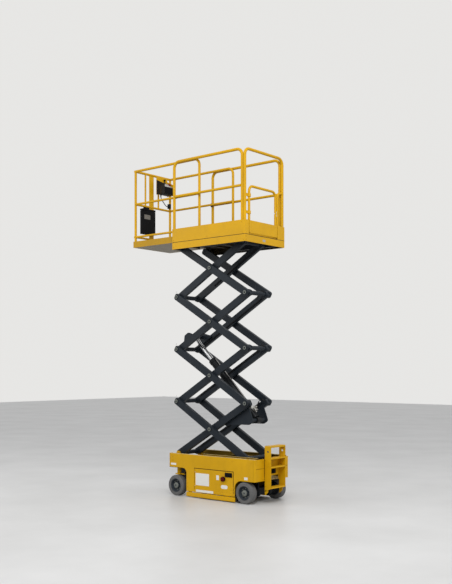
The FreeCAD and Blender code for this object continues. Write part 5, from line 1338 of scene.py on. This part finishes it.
class LIFT_OT_stage(bpy.types.Operator):
    """Camera, floor, backdrop and soft lights"""
    bl_idname = "lift.stage"
    bl_label = "Stage"

    def execute(self, context):
        scene = context.scene
        lens = bpy.data.cameras.new("camera")
        lens.sensor_width, lens.lens, lens.shift_y = 36.0, 52.807, 0.12998
        lens.clip_end = 200.0
        camera = bpy.data.objects.new("camera", lens)
        camera.location = (-8.007, 9.260, 1.812)
        camera.rotation_euler = (math.radians(90), 0, math.radians(-140.134))
        scene.collection.objects.link(camera)
        scene.camera = camera

        _, tree, shader = material("stage_floor", (0.62, 0.615, 0.60), 0.42)
        tone = mixed(tree, spread(tree, noise(tree, where(tree), 0.8, 5.0), 0.3, 0.7), (0.56, 0.555, 0.54),
                     (0.64, 0.635, 0.62))
        feed(tree, shader, tone)
        _, tree, shader = material("stage_wall", (0.66, 0.655, 0.64), 0.9)
        tone = mixed(tree, spread(tree, noise(tree, where(tree), 0.5, 3.0), 0.3, 0.7), (0.62, 0.615, 0.60),
                     (0.66, 0.655, 0.64))
        feed(tree, shader, tone)
        floor = bpy.data.meshes.new("stage_floor")
        floor.from_pydata([(-30, -30, 0), (30, -30, 0), (30, 30, 0), (-30, 30, 0)], [], [(0, 1, 2, 3)])
        floor.materials.append(MATERIALS["stage_floor"])
        ground = bpy.data.objects.new("stage_floor", floor)
        scene.collection.objects.link(ground)

        world = bpy.data.worlds.new("studio")
        scene.world = world
        world.use_nodes = True
        tree = world.node_tree
        light = tree.nodes["Background"]
        light.inputs["Color"].default_value = (0.93, 0.95, 1.0, 1.0)
        light.inputs["Strength"].default_value = 0.62
        seen = add(tree, "ShaderNodeBackground", {"Color": (0.80, 0.795, 0.78, 1.0), "Strength": 1.0})
        path = add(tree, "ShaderNodeLightPath")
        both = add(tree, "ShaderNodeMath", {0: path.outputs["Is Camera Ray"], 1: path.outputs["Is Glossy Ray"]},
                   operation="MAXIMUM")
        clear = add(tree, "ShaderNodeMath", {0: both.outputs[0], 1: path.outputs["Is Transmission Ray"]},
                    operation="MAXIMUM")
        choice = add(tree, "ShaderNodeMixShader", {0: clear.outputs[0], 1: light.outputs[0],
                                                   2: seen.outputs[0]})
        tree.links.new(choice.outputs[0], tree.nodes["World Output"].inputs["Surface"])

        # columns: name, place, aim, size, watts
        for name, place, aim, size, watts in (
                ("key", (-5.5, 5.5, 8.5), (0, 0, 2.4), 5.0, 620),
                ("fill", (-7.5, -4.0, 4.5), (0, 0, 2.6), 5.0, 120),
                ("front", (6.0, 6.0, 5.0), (0, 0, 2.6), 5.0, 200)):
            lamp = bpy.data.lights.new(name, "AREA")
            lamp.size, lamp.energy = size, watts
            source = bpy.data.objects.new(name, lamp)
            source.location = place
            source.rotation_euler = (Vector(aim) - Vector(place)).to_track_quat("-Z", "Y").to_euler()
            scene.collection.objects.link(source)
        scene.view_settings.view_transform = "Standard"
        return {"FINISHED"}


STEPS = (LIFT_OT_finishes, LIFT_OT_stage, LIFT_OT_console_cable, LIFT_OT_tyres, LIFT_OT_hubs,
         LIFT_OT_ground_controls, LIFT_OT_labels, LIFT_OT_chassis_trim, LIFT_OT_guards,
         LIFT_OT_lower_chassis, LIFT_OT_door_trim,
         LIFT_OT_ladder_trim, LIFT_OT_arm_trim, LIFT_OT_arm_hoses, LIFT_OT_cylinder_trim,
         LIFT_OT_deck_studs, LIFT_OT_platform_trim, LIFT_OT_rail_fittings, LIFT_OT_gate_trim,
         LIFT_OT_manual_store, LIFT_OT_console, LIFT_OT_axle_trim)


class LIFT_PT_panel(bpy.types.Panel):
    """Sizes, colours and steps of the lift"""
    bl_idname = "LIFT_PT_panel"
    bl_label = "Scissor Lift"
    bl_space_type = "VIEW_3D"
    bl_region_type = "UI"
    bl_category = "Lift"

    def draw(self, context):
        layout = self.layout
        for group in (context.scene.lift_colours, context.scene.lift_sizes):
            for name in group.bl_rna.properties.keys():
                if name not in ("rna_type", "name"):
                    layout.prop(group, name)
        for step in STEPS:
            layout.operator(step.bl_idname)


CLASSES = (LiftColours, LiftSizes, *STEPS, LIFT_PT_panel)


def register():
    for item in CLASSES:
        bpy.utils.register_class(item)
    bpy.types.Scene.lift_colours = bpy.props.PointerProperty(type=LiftColours)
    bpy.types.Scene.lift_sizes = bpy.props.PointerProperty(type=LiftSizes)


def unregister():
    del bpy.types.Scene.lift_sizes
    del bpy.types.Scene.lift_colours
    for item in reversed(CLASSES):
        bpy.utils.unregister_class(item)


def main():
    register()
    for step in STEPS:
        group, name = step.bl_idname.split(".")
        getattr(getattr(bpy.ops, group), name)()


if __name__ == "__main__":
    main()
